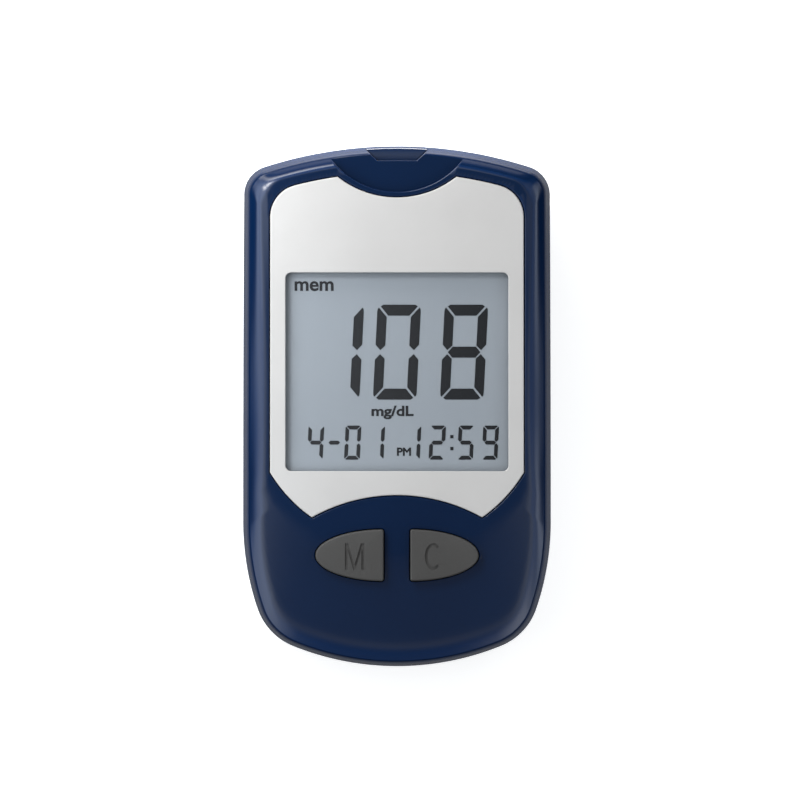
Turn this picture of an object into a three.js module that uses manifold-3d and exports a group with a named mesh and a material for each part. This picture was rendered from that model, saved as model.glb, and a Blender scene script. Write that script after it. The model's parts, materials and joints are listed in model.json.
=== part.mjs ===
// A handheld blood glucose meter, lying on its back: +Z comes out of the display and +Y points to the
// end where the test strip goes in. Sizes are millimetres. The origin is the middle of the case's
// footprint, on the surface that the meter lies on.
import * as THREE from "three";
import { mergeVertices } from "three/addons/utils/BufferGeometryUtils.js";
import Module from "manifold-3d";

const wasm = await Module();
wasm.setup();

// Driving dimensions, from the whole case down to the smallest pieces.
const body = {
  length: 96,
  width: 56.8,
  height: 22,
  end_radius: 79.9,
  end_corner_radius: 5.36,
  side_radius: 10000,
  flank_start_from_heel: 26.65,
  flank_radius: 49.5,
  heel_corner_radius: 11.4,
  heel_radius: 51.2,
  wall: 2,
  seam_height: 10.5,
  seam_gap: 0.3,
  seam_chamfer: 0.2,
};
const fit = {
  moulded: 0.15,
  stacked: 0.05,
  running: 0.25,
  overrun: 1,
};
const lip = {
  inset: 1,
  height: 1.3,
};
const back = {
  round_inset: 4.6,
  round_height: 7.5,
  floor: 1.8,
};
const front = {
  wall_top_below: 3.8,
  wall_top_inset: 0.55,
  shoulder_below: 1.4,
  shoulder_inset: 1.4,
  bend_inset: 0.85,
  bend_below: 2.5,
  roof_below: 3.6,
  roof_inset: 3.2,
  roof_bend: 1.6,
  slope_round: 3.25,
  slope_straight_share: 0.75,
};
const plateau = {
  end_inset: 3.3,
  corner_radius: 3.5,
  rim: 0.4,
  heel_from_heel: 20.3,
  heel_bulge: 5.95,
  heel_corner_radius: 8,
};
const faceplate = {
  side_inset: 5.05,
  end_inset: 4.8,
  corner_radius: 6,
  thickness: 0.7,
  proud: 0.15,
  bevel: 0.15,
  heel_margin: 2.5,
  notch_radius: 17.6,
  notch_from_end: 9.4,
  arch_radius: 32.05,
  arch_from_window: 4.4,
};
const display = {
  view_from_end: 23.2,
  view_from_key: 15.45,
  view_side_border: 2.85,
  view_corner_radius: 1.07,
  lens_border: 0.9,
  lens_corner_radius: 2,
  lens_thickness: 0.65,
  glass_border: 0.9,
  glass_border_length: 0.35,
  glass_thickness: 1,
  glass_ledge: 1.6,
  film_thickness: 0.2,
  film_border: 0.4,
  film_gap: 0.15,
  tray_wall: 1.2,
  tray_ledge_depth: 0.4,
  tray_foot: 1.1,
  roof_below: 2.4,
  zebra_thickness: 1.2,
};
const scoop = {
  radius: 15.2,
  heel_from_end: 8.32,
};
const port = {
  mouth_from_end: 2.6,
  mouth_half_width: 3.6,
  flare_share: 1.04,
  ramp_drop_share: 0.28,
  strip_height: 16.9,
  strip_gap: 1.05,
  lip_bottom: 15,
  body_half_width: 5.8,
  body_length: 6.6,
  floor: 1.2,
  roof_gap: 0.1,
};
const key = {
  gap_half: 2.45,
  tip_from_side: 13.4,
  half_width: 4.75,
  corner_radius: 0.4,
  centre_from_heel: 20.8,
  proud: 1.3,
  edge_radius: 0.35,
  flange: 0.9,
  flange_thickness: 0.7,
  flange_gap: 0.1,
  travel: 0.5,
  post_radius: 1.5,
};
const board = {
  bay_gap: 0.35,
  thickness: 1.2,
  edge_inset: 3.8,
  heel_from_heel: 13.5,
};
const boss = {
  end_from_side: 7.9,
  end_from_end: 14.5,
  heel_from_side: 8.4,
  heel_from_heel: 20,
  outer_radius: 2.4,
  step_radius: 3.3,
  rear_radius: 3.1,
  pilot_radius: 0.95,
  pilot_depth: 5.4,
  clear_radius: 1.2,
  counterbore_radius: 2.35,
  counterbore_depth: 5.2,
  rib_half: 0.6,
  rib_below_seam: 2,
};
const rest = {
  x: 14.5,
  half_width: 0.7,
  half_length: 4,
  from_end: 10,
  floor_rib_height: 3.4,
};
const screw = {
  shank_radius: 0.8,
  length: 8,
  head_radius: 1.9,
  head_height: 1.3,
  drive_radius: 0.95,
  drive_depth: 0.7,
};
const cell = {
  radius: 5.25,
  length: 44.5,
  nub_radius: 1.9,
  nub_length: 0.9,
  edge_radius: 0.4,
  pitch: 11.2,
  floor_gap: 0.5,
  channel_gap: 0.35,
};
const contact = {
  plate_thickness: 0.4,
  plate_half_width: 3.9,
  plate_height: 7.8,
  spring_length: 4.2,
  spring_wall_radius: 3.5,
  spring_cell_radius: 1.9,
  wire_radius: 0.3,
  gap: 0.1,
  tail_half_width: 1.1,
};
const bay = {
  wall: 1.4,
  curb: 1.6,
  heel_from_heel: 7.1,
  ceiling: 0.85,
};
const door = {
  half_width: 12.85,
  end_past_bay: 3.7,
  heel_height: 7.4,
  headroom: 0.6,
  recess: 0.15,
  rail_reach: 1.1,
  rail_height: 0.6,
  rail_bottom: 0.85,
  rail_start: 4,
  rail_end: 4,
  tongue_half_width: 5,
  tongue_reach: 1.9,
  groove_count: 5,
  groove_half_width: 6,
  groove_width: 0.8,
  groove_pitch: 2,
  groove_depth: 0.4,
  groove_from_heel: 13,
};
const socket = {
  half_width: 5.2,
  length: 7.4,
  gap: 0.3,
  roof: 0.45,
  contact_count: 4,
  contact_pitch: 1.5,
  contact_width: 0.5,
  contact_thickness: 0.2,
  contact_groove: 0.8,
  contact_bump: 0.35,
  contact_tail: 1.4,
};
const tact = {
  half_size: 2.6,
  height: 1.05,
  plunger_radius: 1,
  bore_gap: 0.2,
  plunger_in: 0.2,
};
const chip = {
  main_half: 4.6,
  main_thickness: 1.3,
  main_x: 6.5,
  main_from_bay: 9.5,
  lead_count: 6,
  lead_pitch: 1.2,
  lead_width: 0.5,
  lead_reach: 1,
  lead_thickness: 0.3,
  small_half_x: 2.4,
  small_half_y: 1.9,
  small_thickness: 1.2,
  small_x: 9,
  crystal_radius: 1,
  crystal_length: 6,
  crystal_x: 3.5,
  buzzer_radius: 4,
  buzzer_height: 1.9,
  buzzer_hole_radius: 0.8,
  buzzer_gap: 1,
  buzzer_from_end: 9,
};

// How finely round shapes are divided.
const steps = {
  end: 9,
  end_corner: 7,
  side: 6,
  flank: 5,
  heel_corner: 7,
  heel: 6,
  round: 6,
  inner_round: 3,
  slope: 5,
  arc: 12,
  small_arc: 4,
  rod: 20,
  thin_rod: 12,
  key: 22,
  coil_turns: 3.5,
  coil_steps: 8,
  coil_sides: 5,
};

// Places that several pieces share.
const endY = body.length / 2;
const heelY = -body.length / 2;
const sideX = body.width / 2;
const shoulderZ = body.height - front.shoulder_below;
const roofZ = body.height - front.roof_below;
const plateHalfX = sideX - faceplate.side_inset;
const plateauHalfX = plateHalfX + plateau.rim;
const plateauHeelRadius = plateauHalfX + plateau.heel_bulge;
const plateauY = heelY + plateau.heel_from_heel + plateauHeelRadius;
const keyY = heelY + key.centre_from_heel;
const keyLength = sideX - key.tip_from_side - key.gap_half;
const viewHalfX = plateHalfX - display.view_side_border;
const viewEndY = endY - display.view_from_end;
const viewHeelY = keyY + display.view_from_key;
const viewHalfY = (viewEndY - viewHeelY) / 2;
const displayY = (viewEndY + viewHeelY) / 2;
const frontStartZ = body.seam_height + body.seam_gap;
const cellZ = back.floor + cell.floor_gap + cell.radius;
const channelRadius = cell.radius + cell.channel_gap;
const bayTop = cellZ + channelRadius + bay.ceiling;
const boardBottom = bayTop + board.bay_gap;
const boardTop = boardBottom + board.thickness;
const stackZ = boardTop + fit.stacked;
const plateTop = body.height + faceplate.proud;
const plateBottom = plateTop - faceplate.thickness;
const recessFloor = plateBottom - fit.stacked;
const lensTop = recessFloor;
const lensBottom = lensTop - display.lens_thickness;
const lensSeat = lensBottom - fit.stacked;
const displayRoof = body.height - display.roof_below;
const filmTop = lensBottom - display.film_gap;
const frontGlassTop = filmTop - display.film_thickness - fit.stacked;
const frontGlassBottom = frontGlassTop - display.glass_thickness;
const rearGlassTop = frontGlassBottom - fit.stacked;
const rearGlassBottom = rearGlassTop - display.glass_thickness;
const reflectorTop = rearGlassBottom - fit.stacked;
const reflectorBottom = reflectorTop - display.film_thickness;
const trayFloor = reflectorBottom - fit.stacked;
const lensHalfX = viewHalfX + display.lens_border + fit.running + fit.stacked + faceplate.bevel;
const lensHalfY = viewHalfY + display.lens_border;
const glassHalfX = viewHalfX + display.glass_border;
const glassHalfY = viewHalfY + display.glass_border_length;
const rearGlassHalfY = glassHalfY - display.glass_ledge;
const trayHalfX = glassHalfX + fit.running + display.tray_wall;
const trayHalfY = glassHalfY + fit.running + display.tray_wall;
const bayHeelY = heelY + bay.heel_from_heel;
const bayLength = cell.length + contact.spring_length + contact.plate_thickness * 2 + contact.gap * 5;
const bayEndY = bayHeelY + bayLength;
const bayHalfX = cell.pitch / 2 + channelRadius;
const blockHalfX = door.half_width + fit.moulded + bay.curb;
const doorEndY = bayEndY + bay.wall + door.end_past_bay;
const doorCeiling = back.floor + door.headroom;
const keyTop = body.height + key.proud;
const keySeat = roofZ - key.flange_gap;
const keyBottom = keySeat - key.flange_thickness;
const tactTop = stackZ + tact.height;
const postBottom = tactTop + key.travel + fit.moulded;
const plungerTop = postBottom - fit.stacked;
const plungerBottom = tactTop - tact.plunger_in;
const mouthY = endY - port.mouth_from_end;
const portEndY = mouthY - fit.moulded;
const portHeelY = portEndY - port.body_length;
const socketEndY = portHeelY - socket.gap;
const socketHeelY = socketEndY - socket.length;
const bosses = [
  ["end_left", boss.end_from_side - sideX, endY - boss.end_from_end],
  ["end_right", sideX - boss.end_from_side, endY - boss.end_from_end],
  ["heel_left", boss.heel_from_side - sideX, heelY + boss.heel_from_heel],
  ["heel_right", sideX - boss.heel_from_side, heelY + boss.heel_from_heel],
];

// Solids: every helper gives a manifold-3d solid, so that pieces can be joined and cut.
function solidOf(geometry) {
  const loose = geometry.index ? geometry.toNonIndexed() : geometry.clone();
  loose.deleteAttribute("normal");
  loose.deleteAttribute("uv");
  const merged = mergeVertices(loose, 1e-4);
  return new wasm.Manifold(
    new wasm.Mesh({
      numProp: 3,
      vertProperties: merged.attributes.position.array,
      triVerts: new Uint32Array(merged.index.array),
    }),
  );
}

function geometryOf(solid) {
  const mesh = solid.getMesh();
  const geometry = new THREE.BufferGeometry();
  geometry.setAttribute("position", new THREE.BufferAttribute(mesh.vertProperties, mesh.numProp));
  geometry.setIndex(new THREE.BufferAttribute(mesh.triVerts, 1));
  const flat = geometry.toNonIndexed();
  flat.computeVertexNormals();
  return flat;
}

function block(x0, x1, y0, y1, z0, z1) {
  const box = new THREE.BoxGeometry(x1 - x0, y1 - y0, z1 - z0);
  return solidOf(box.translate((x0 + x1) / 2, (y0 + y1) / 2, (z0 + z1) / 2));
}

function prism(points, z0, z1) {
  const shape = new THREE.Shape(points.map(([x, y]) => new THREE.Vector2(x, y)));
  const extruded = new THREE.ExtrudeGeometry(shape, { depth: z1 - z0, bevelEnabled: false });
  return solidOf(extruded.translate(0, 0, z0));
}

function rod(radius, z0, z1, x, y, sides = steps.rod) {
  const cylinder = new THREE.CylinderGeometry(radius, radius, z1 - z0, sides);
  return solidOf(cylinder.rotateX(Math.PI / 2).translate(x, y, (z0 + z1) / 2));
}

// A solid skin over rings of points that run anticlockwise seen from +Z, lowest ring first.
function loft(rings, capY) {
  const count = rings[0].length;
  const position = rings.flat(2);
  const low = rings.length * count;
  const high = low + 1;
  position.push(0, capY, rings[0][0][2]);
  position.push(0, capY, rings[rings.length - 1][0][2]);
  const index = [];
  const top = (rings.length - 1) * count;
  for (let i = 0; i < count; i += 1) {
    const j = (i + 1) % count;
    for (let k = 0; k < top; k += count) {
      index.push(k + i, k + j, k + count + j);
      index.push(k + i, k + count + j, k + count + i);
    }
    index.push(low, j, i);
    index.push(high, top + i, top + j);
  }
  const geometry = new THREE.BufferGeometry();
  geometry.setAttribute("position", new THREE.Float32BufferAttribute(position, 3));
  geometry.setIndex(index);
  return solidOf(geometry);
}

// Flat outlines, as lists of points.
function arc(x, y, radius, from, to, count) {
  return Array.from({ length: count + 1 }, (_, i) => {
    const turn = from + ((to - from) * i) / count;
    return [x + radius * Math.cos(turn), y + radius * Math.sin(turn)];
  });
}

// The left half of an outline is the right half seen in a mirror, so only the right half is drawn.
function mirrored(right) {
  const left = right.filter(([x]) => x > 1e-6).map(([x, y]) => [-x, y]);
  return [...right, ...left.reverse()];
}

function roundedRectangle(halfX, halfY, y, radius) {
  const right = [
    [0, y - halfY],
    ...arc(halfX - radius, y - halfY + radius, radius, -Math.PI / 2, 0, steps.small_arc),
    ...arc(halfX - radius, y + halfY - radius, radius, 0, Math.PI / 2, steps.small_arc),
    [0, y + halfY],
  ];
  return mirrored(right);
}

// The circle of a given radius that touches two larger circles from inside. Of the two that do, "up" picks
// the one nearer the strip end with 1 and the one nearer the heel with -1.
function innerTangent(a, b, radius, up) {
  const reachA = a.radius - radius;
  const reachB = b.radius - radius;
  const [dx, dy] = [b.x - a.x, b.y - a.y];
  const apart = Math.hypot(dx, dy);
  const along = (reachA ** 2 - reachB ** 2 + apart ** 2) / (2 * apart);
  const across = Math.sqrt(Math.max(reachA ** 2 - along ** 2, 0));
  const found = [1, -1].map((side) => ({
    x: a.x + (dx * along - side * dy * across) / apart,
    y: a.y + (dy * along + side * dx * across) / apart,
    radius,
  }));
  return (found[0].y - found[1].y) * up > 0 ? found[0] : found[1];
}

// Turns circles that touch each in turn, from the strip end to the heel, into arcs that run from one touch
// to the next. An arc is known by the angles of its outward normal, so it stays itself when it is inset.
function chainOf(circles) {
  const turns = circles.slice(1).map((circle, i) => {
    const other = circles[i];
    const [big, small] = other.radius > circle.radius ? [other, circle] : [circle, other];
    return Math.atan2(small.y - big.y, small.x - big.x);
  });
  return circles.map((circle, i) => ({
    ...circle,
    from: i === 0 ? Math.PI / 2 : turns[i - 1],
    to: i === circles.length - 1 ? -Math.PI / 2 : turns[i],
  }));
}

// The case's outline: two flat arcs at the ends, nearly straight sides, flanks that draw in towards the
// heel, and a corner arc at each join.
function caseChain() {
  const end = { x: 0, y: endY - body.end_radius, radius: body.end_radius };
  const flankY = heelY + body.flank_start_from_heel;
  const side = { x: sideX - body.side_radius, y: flankY, radius: body.side_radius };
  const flank = { x: sideX - body.flank_radius, y: flankY, radius: body.flank_radius };
  const heel = { x: 0, y: heelY + body.heel_radius, radius: body.heel_radius };
  const endCorner = innerTangent(end, side, body.end_corner_radius, 1);
  const heelCorner = innerTangent(flank, heel, body.heel_corner_radius, -1);
  return chainOf([end, endCorner, side, flank, heelCorner, heel]);
}

// The flat part of the front: it stops short of the case's edge all round, and far short of the heel.
function plateauChain() {
  const end = { x: 0, y: endY - body.end_radius, radius: body.end_radius - plateau.end_inset };
  const side = { x: plateauHalfX - body.side_radius, y: plateauY, radius: body.side_radius };
  const heel = { x: 0, y: plateauY, radius: plateauHeelRadius };
  const endCorner = innerTangent(end, side, plateau.corner_radius, 1);
  const heelCorner = innerTangent(side, heel, plateau.heel_corner_radius, -1);
  return chainOf([end, endCorner, side, heelCorner, heel]);
}

const caseArcs = caseChain();
const caseSteps = [steps.end, steps.end_corner, steps.side, steps.flank, steps.heel_corner, steps.heel];
const caseTurns = caseArcs.flatMap((piece, i) => {
  const count = caseSteps[i];
  const last = i === caseArcs.length - 1 ? count : count - 1;
  return Array.from({ length: last + 1 }, (_, k) => ({
    piece,
    turn: piece.from + ((piece.to - piece.from) * k) / count,
  }));
});

// The case's outline moved inwards by an inset, anticlockwise from the middle of the heel.
function caseOutline(inset) {
  const right = caseTurns.map(({ piece, turn }) => [
    piece.x + (piece.radius - inset) * Math.cos(turn),
    piece.y + (piece.radius - inset) * Math.sin(turn),
  ]);
  right[0][0] = 0;
  right[right.length - 1][0] = 0;
  return mirrored(right.reverse());
}

function caseRing(inset, z) {
  return caseOutline(inset).map(([x, y]) => [x, y, z]);
}

const plateauArcs = plateauChain();

// The point of the plateau's outline that lies in line with its centre and a given point.
function plateauPoint([x, y]) {
  const away = Math.hypot(x, y - plateauY);
  const [ux, uy] = [Math.abs(x) / away, (y - plateauY) / away];
  for (const piece of plateauArcs) {
    const [fx, fy] = [-piece.x, plateauY - piece.y];
    const along = fx * ux + fy * uy;
    const rest = along ** 2 - (fx ** 2 + fy ** 2 - piece.radius ** 2);
    if (rest < 0) continue;
    const reach = -along + Math.sqrt(rest);
    const turn = Math.atan2(fy + reach * uy, fx + reach * ux);
    if (reach > 0 && turn <= piece.from + 1e-6 && turn >= piece.to - 1e-6) {
      return [Math.sign(x) * reach * ux, plateauY + reach * uy];
    }
  }
  throw new Error("the plateau's outline has a break in it");
}

// The slope from the shoulder up to the plateau is round next to the shoulder. Where it is wide the rest
// of it is straight, which leaves the soft crease that crosses the front between the two keys.
function slopeRings() {
  const foot = caseOutline(front.shoulder_inset);
  const head = foot.map(plateauPoint);
  const widths = foot.map(([x, y], i) => Math.hypot(x - head[i][0], y - head[i][1]));
  return Array.from({ length: steps.slope }, (_, k) => {
    const share = ((k + 1) / steps.slope) ** 2;
    return foot.map(([x, y], i) => {
      const round = Math.min(widths[i], front.slope_round);
      const straight = front.slope_straight_share * (1 - round / widths[i]);
      const turn = (Math.min((share * widths[i]) / round, 1) * Math.PI) / 2;
      const rise = straight * share + (1 - straight) * Math.sin(turn);
      const z = shoulderZ + front.shoulder_below * rise;
      return [x + (head[i][0] - x) * share, y + (head[i][1] - y) * share, z];
    });
  });
}

function frontOuter() {
  const chamfer = body.seam_chamfer;
  return loft(
    [
      caseRing(chamfer, frontStartZ),
      caseRing(0, frontStartZ + chamfer),
      caseRing(front.wall_top_inset, body.height - front.wall_top_below),
      caseRing(front.bend_inset, body.height - front.bend_below),
      caseRing(front.shoulder_inset, shoulderZ),
      ...slopeRings(),
    ],
    plateauY,
  );
}

function frontCavity() {
  return loft(
    [
      caseRing(body.wall, frontStartZ - fit.overrun),
      caseRing(body.wall + front.wall_top_inset, roofZ - front.roof_bend),
      caseRing(front.roof_inset, roofZ),
    ],
    plateauY,
  );
}

// A quarter of an ellipse rolls the back up into the sides.
function backRings(wall, floor, count) {
  return Array.from({ length: count + 1 }, (_, k) => {
    const turn = (Math.PI / 2) * (k / count);
    const inset = wall + (back.round_inset - wall) * (1 - Math.sin(turn));
    return caseRing(inset, floor + (back.round_height - floor) * (1 - Math.cos(turn)));
  });
}

function rearOuter() {
  const chamfer = body.seam_chamfer;
  const seam = [caseRing(0, body.seam_height - chamfer), caseRing(chamfer, body.seam_height)];
  return loft([...backRings(0, 0, steps.round), ...seam], plateauY);
}

function rearCavity() {
  const inner = backRings(body.wall, back.floor, steps.inner_round);
  return loft([...inner, caseRing(body.wall, body.seam_height + fit.overrun)], plateauY);
}

const frontSolid = frontOuter();
const rearSolid = rearOuter();
const rearHollow = rearCavity();

// The faceplate's outline, grown by the clearance that its recess needs.
function faceplateOutline(grow) {
  const half = plateHalfX + grow;
  const end = { x: 0, y: endY - body.end_radius, radius: body.end_radius - faceplate.end_inset + grow };
  const side = { x: half - body.side_radius, y: plateauY, radius: body.side_radius };
  const corner = innerTangent(end, side, faceplate.corner_radius + grow, 1);
  const cornerTurn = Math.atan2(corner.y - end.y, corner.x - end.x);
  const heel = { y: plateauY, radius: plateauHeelRadius - faceplate.heel_margin + grow };
  const notchCentre = endY - faceplate.notch_from_end + faceplate.notch_radius;
  const notch = { y: notchCentre, radius: faceplate.notch_radius - grow };
  const archTop = displayY - viewHalfY - faceplate.arch_from_window;
  const arch = { y: archTop - faceplate.arch_radius, radius: faceplate.arch_radius - grow };
  const crossing = (a, b) => (a.radius ** 2 - b.radius ** 2 - a.y ** 2 + b.y ** 2) / (2 * (b.y - a.y));
  const tipY = crossing(heel, arch);
  const notchY = crossing(end, notch);
  const sideTurn = -Math.acos(half / heel.radius);
  const tipTurn = Math.asin((tipY - heel.y) / heel.radius);
  const notchTurn = Math.asin((notchY - notch.y) / notch.radius);
  const right = [
    ...arc(0, arch.y, arch.radius, Math.PI / 2, Math.asin((tipY - arch.y) / arch.radius), steps.arc),
    ...arc(0, heel.y, heel.radius, tipTurn, sideTurn, steps.small_arc).slice(1),
    ...arc(corner.x, corner.y, corner.radius, 0, cornerTurn, steps.end_corner),
    ...arc(0, end.y, end.radius, cornerTurn, Math.asin((notchY - end.y) / end.radius), steps.small_arc).slice(1),
    ...arc(0, notch.y, notch.radius, notchTurn, -Math.PI / 2, steps.arc).slice(1),
  ];
  right[0][0] = 0;
  right[right.length - 1][0] = 0;
  return mirrored(right);
}

// A key is half an ellipse with its flat side to the middle. The left one is the right one in a mirror.
function keyOutline(side, grow) {
  const radius = key.corner_radius + grow;
  const flatX = key.gap_half - grow;
  const reachX = keyLength + grow;
  const reachY = key.half_width + grow;
  const start = Math.acos(radius / reachX);
  const right = [
    ...arc(flatX + radius, keyY - reachY + radius, radius, Math.PI, Math.PI * 1.5, steps.small_arc - 1),
    ...Array.from({ length: steps.key + 1 }, (_, i) => {
      const turn = -start + (2 * start * i) / steps.key;
      return [key.gap_half + reachX * Math.cos(turn), keyY + reachY * Math.sin(turn)];
    }).slice(1, -1),
    ...arc(flatX + radius, keyY + reachY - radius, radius, Math.PI / 2, Math.PI, steps.small_arc - 1),
  ];
  return side > 0 ? right : right.map(([x, y]) => [-x, y]).reverse();
}

// The mouth widens towards the strip end, so that a strip finds its way in.
function mouthOutline(shrink) {
  const outY = endY + fit.overrun;
  const inner = port.mouth_half_width - shrink;
  const outer = inner + (outY - mouthY) * port.flare_share;
  return mirrored([
    [0, mouthY],
    [inner, mouthY],
    [outer, outY],
    [0, outY],
  ]);
}

function joined(solids) {
  return solids.reduce((sum, next) => sum.add(next));
}

function cut(solid, cutters) {
  return cutters.reduce((rest, next) => rest.subtract(next), solid);
}

// Front shell: an open-backed moulding with a recess for the faceplate, an opening for the display, two key
// wells, a round scoop and the strip's mouth at the end, and four stepped bosses for the screws.
function frontShell() {
  const over = fit.overrun;
  const seam = lip.height + fit.moulded;
  const hollow = [
    frontCavity(),
    prism(caseOutline(lip.inset), frontStartZ - over, frontStartZ + seam),
    block(
      -trayHalfX - fit.running,
      trayHalfX + fit.running,
      displayY - trayHalfY - fit.running,
      displayY + trayHalfY + fit.running,
      roofZ - over,
      displayRoof,
    ),
  ];
  const pocket = block(
    -port.body_half_width - fit.moulded,
    port.body_half_width + fit.moulded,
    portHeelY,
    mouthY,
    frontStartZ,
    roofZ,
  );
  const stems = bosses.flatMap(([, x, y]) => [
    rod(boss.step_radius, stackZ, roofZ + over, x, y),
    rod(boss.outer_radius, frontStartZ, stackZ + over, x, y),
  ]);
  const shell = joined([cut(frontSolid, hollow), ...stems]);
  const scoopY = endY - scoop.heel_from_end + scoop.radius;
  const pilotTop = frontStartZ + boss.pilot_depth;
  const opening = fit.running;
  return cut(shell, [
    prism(faceplateOutline(fit.moulded), recessFloor, body.height + over),
    prism(
      roundedRectangle(lensHalfX + fit.moulded, lensHalfY + fit.moulded, displayY, display.lens_corner_radius),
      lensSeat,
      body.height,
    ),
    centredBlock(glassHalfX + opening, glassHalfY + opening, displayRoof - over, body.height),
    prism(keyOutline(1, fit.moulded), roofZ - over, body.height + over),
    prism(keyOutline(-1, fit.moulded), roofZ - over, body.height + over),
    rod(scoop.radius, shoulderZ, body.height + over, 0, scoopY, steps.rod * 4),
    prism(mouthOutline(0), port.lip_bottom, body.height + over),
    pocket,
    ...bosses.map(([, x, y]) => rod(boss.pilot_radius, frontStartZ - over, pilotTop, x, y, steps.thin_rod)),
  ]);
}

// Rear shell: a tray with a locating lip along the seam, a bay for two cells and an opening in the back and
// the heel for the battery door, whose rails run in grooves along both sides of the opening.
function rearShell() {
  const over = fit.overrun;
  const opening = door.half_width + fit.moulded;
  const grooveTop = door.rail_bottom + door.rail_height + fit.moulded;
  const grooveBottom = door.rail_bottom - fit.moulded;
  const seam = body.seam_height;
  const lipBlank = prism(caseOutline(lip.inset + fit.moulded), seam - over, seam + lip.height);
  const seamLip = lipBlank.subtract(prism(caseOutline(body.wall), seam - over * 2, seam + lip.height + over));
  const posts = bosses.map(([, x, y]) => rod(boss.rear_radius, back.floor / 2, seam, x, y));
  const ribs = joined(rearRibs()).intersect(rearSolid);
  const shell = cut(joined([rearSolid.subtract(rearHollow), seamLip, ...posts, ribs, ...boardRests()]), [
    block(-opening, opening, heelY - over, doorEndY + fit.moulded, -over, door.heel_height + fit.moulded),
  ]);
  return cut(joined([shell, batteryBay(opening)]), [
    ...[-1, 1].map((side) =>
      block(
        Math.min(side * (opening - over), side * (opening + door.rail_reach)),
        Math.max(side * (opening - over), side * (opening + door.rail_reach)),
        heelY - over,
        doorEndY - door.rail_end + fit.moulded,
        grooveBottom,
        grooveTop,
      ),
    ),
    block(
      -door.tongue_half_width - fit.moulded,
      door.tongue_half_width + fit.moulded,
      doorEndY - over,
      doorEndY + door.tongue_reach + fit.moulded,
      grooveBottom,
      grooveTop,
    ),
    ...bosses.flatMap(([, x, y]) => [
      rod(boss.clear_radius, -over, seam + over, x, y, steps.thin_rod),
      rod(boss.counterbore_radius, -over, boss.counterbore_depth, x, y),
    ]),
  ]);
}

// A rib ties each screw post to the side wall, and two low ribs stiffen the floor past the bay.
function rearRibs() {
  const low = back.floor / 2;
  const postTop = body.seam_height - boss.rib_below_seam;
  const ties = bosses.map(([, x, y]) => {
    const [from, to] = x > 0 ? [x, sideX] : [-sideX, x];
    return block(from, to, y - boss.rib_half, y + boss.rib_half, low, postTop);
  });
  const floorRibs = [-1, 1].map((side) =>
    block(
      side * rest.x - rest.half_width,
      side * rest.x + rest.half_width,
      bayEndY + bay.wall,
      endY,
      low,
      rest.floor_rib_height,
    ),
  );
  return [...ties, ...floorRibs];
}

// Two tall ribs stand on the floor under the free end of the circuit board.
function boardRests() {
  const y = endY - rest.from_end;
  return [-1, 1].map((side) =>
    block(
      side * rest.x - rest.half_width,
      side * rest.x + rest.half_width,
      y - rest.half_length,
      y + rest.half_length,
      back.floor / 2,
      boardBottom - fit.stacked,
    ),
  );
}

// The bay is a block with a round channel for each cell, open towards the door.
function batteryBay(opening) {
  const over = fit.overrun;
  const channelY = (bayHeelY + bayEndY) / 2;
  const outer = block(-blockHalfX, blockHalfX, bayHeelY - bay.wall, bayEndY + bay.wall, back.floor / 2, bayTop);
  const channels = [-1, 1].map((side) => {
    const channel = new THREE.CylinderGeometry(channelRadius, channelRadius, bayLength, steps.rod);
    return solidOf(channel.translate((side * cell.pitch) / 2, channelY, cellZ));
  });
  const tails = [-1, 1].map((side) =>
    block(
      (side * cell.pitch) / 2 - contact.tail_half_width - fit.moulded,
      (side * cell.pitch) / 2 + contact.tail_half_width + fit.moulded,
      bayEndY - contact.plate_thickness - contact.gap - fit.moulded,
      bayEndY,
      cellZ,
      bayTop + over,
    ),
  );
  const bridgeHalf = cell.pitch / 2 + contact.plate_half_width + fit.moulded;
  const bridgeTop = cellZ + contact.plate_height / 2 + fit.moulded;
  const bridgeEnd = bayHeelY + contact.gap + contact.plate_thickness + fit.moulded;
  return cut(outer, [
    block(-opening, opening, heelY, bayEndY + bay.wall + over, -over, doorCeiling),
    block(-bridgeHalf, bridgeHalf, bayHeelY, bridgeEnd, cellZ - over, bridgeTop),
    block(-bayHalfX, bayHalfX, bayHeelY, bayEndY, -over, cellZ),
    ...channels,
    ...tails,
  ]);
}

// Battery door: a slice of the rear shell's own wall, from its end edge to round the heel, with a rail
// along each side, a tongue at the end edge and grip grooves across the back.
function batteryDoor() {
  const over = fit.overrun;
  const half = door.half_width;
  const blank = rearSolid.intersect(block(-half, half, heelY - over, doorEndY, -over, door.heel_height));
  const skim = block(-half - over, half + over, heelY - over, doorEndY + over, -over, door.recess);
  const panel = cut(blank, [rearHollow, skim]);
  const railTop = door.rail_bottom + door.rail_height;
  const rails = block(
    -half - door.rail_reach,
    half + door.rail_reach,
    bayHeelY + door.rail_start,
    doorEndY - door.rail_end,
    door.rail_bottom,
    railTop,
  );
  const tongue = block(
    -door.tongue_half_width,
    door.tongue_half_width,
    doorEndY - over,
    doorEndY + door.tongue_reach,
    door.rail_bottom,
    railTop,
  );
  const grooves = Array.from({ length: door.groove_count }, (_, i) => {
    const y = heelY + door.groove_from_heel + i * door.groove_pitch;
    const half = door.groove_half_width;
    return block(-half, half, y, y + door.groove_width, -over, door.recess + door.groove_depth);
  });
  return cut(joined([panel, rails, tongue]), grooves);
}

// Faceplate: a flat plate with a bevel round its top edge and round the window.
function faceplateSolid() {
  const bevelZ = plateTop - faceplate.bevel;
  const plate = prism(faceplateOutline(0), plateBottom, bevelZ);
  const top = bevelledCap(faceplateOutline(0), faceplateOutline(-faceplate.bevel), bevelZ, plateTop);
  const view = (grow) =>
    roundedRectangle(
      viewHalfX + grow,
      viewHalfY + grow,
      displayY,
      display.view_corner_radius + grow,
    );
  const window = prism(view(0), plateBottom - fit.overrun, plateTop + fit.overrun);
  const rim = bevelledCap(view(0), view(faceplate.bevel), bevelZ, plateTop);
  return cut(joined([plate, top]), [window, rim]);
}

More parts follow.
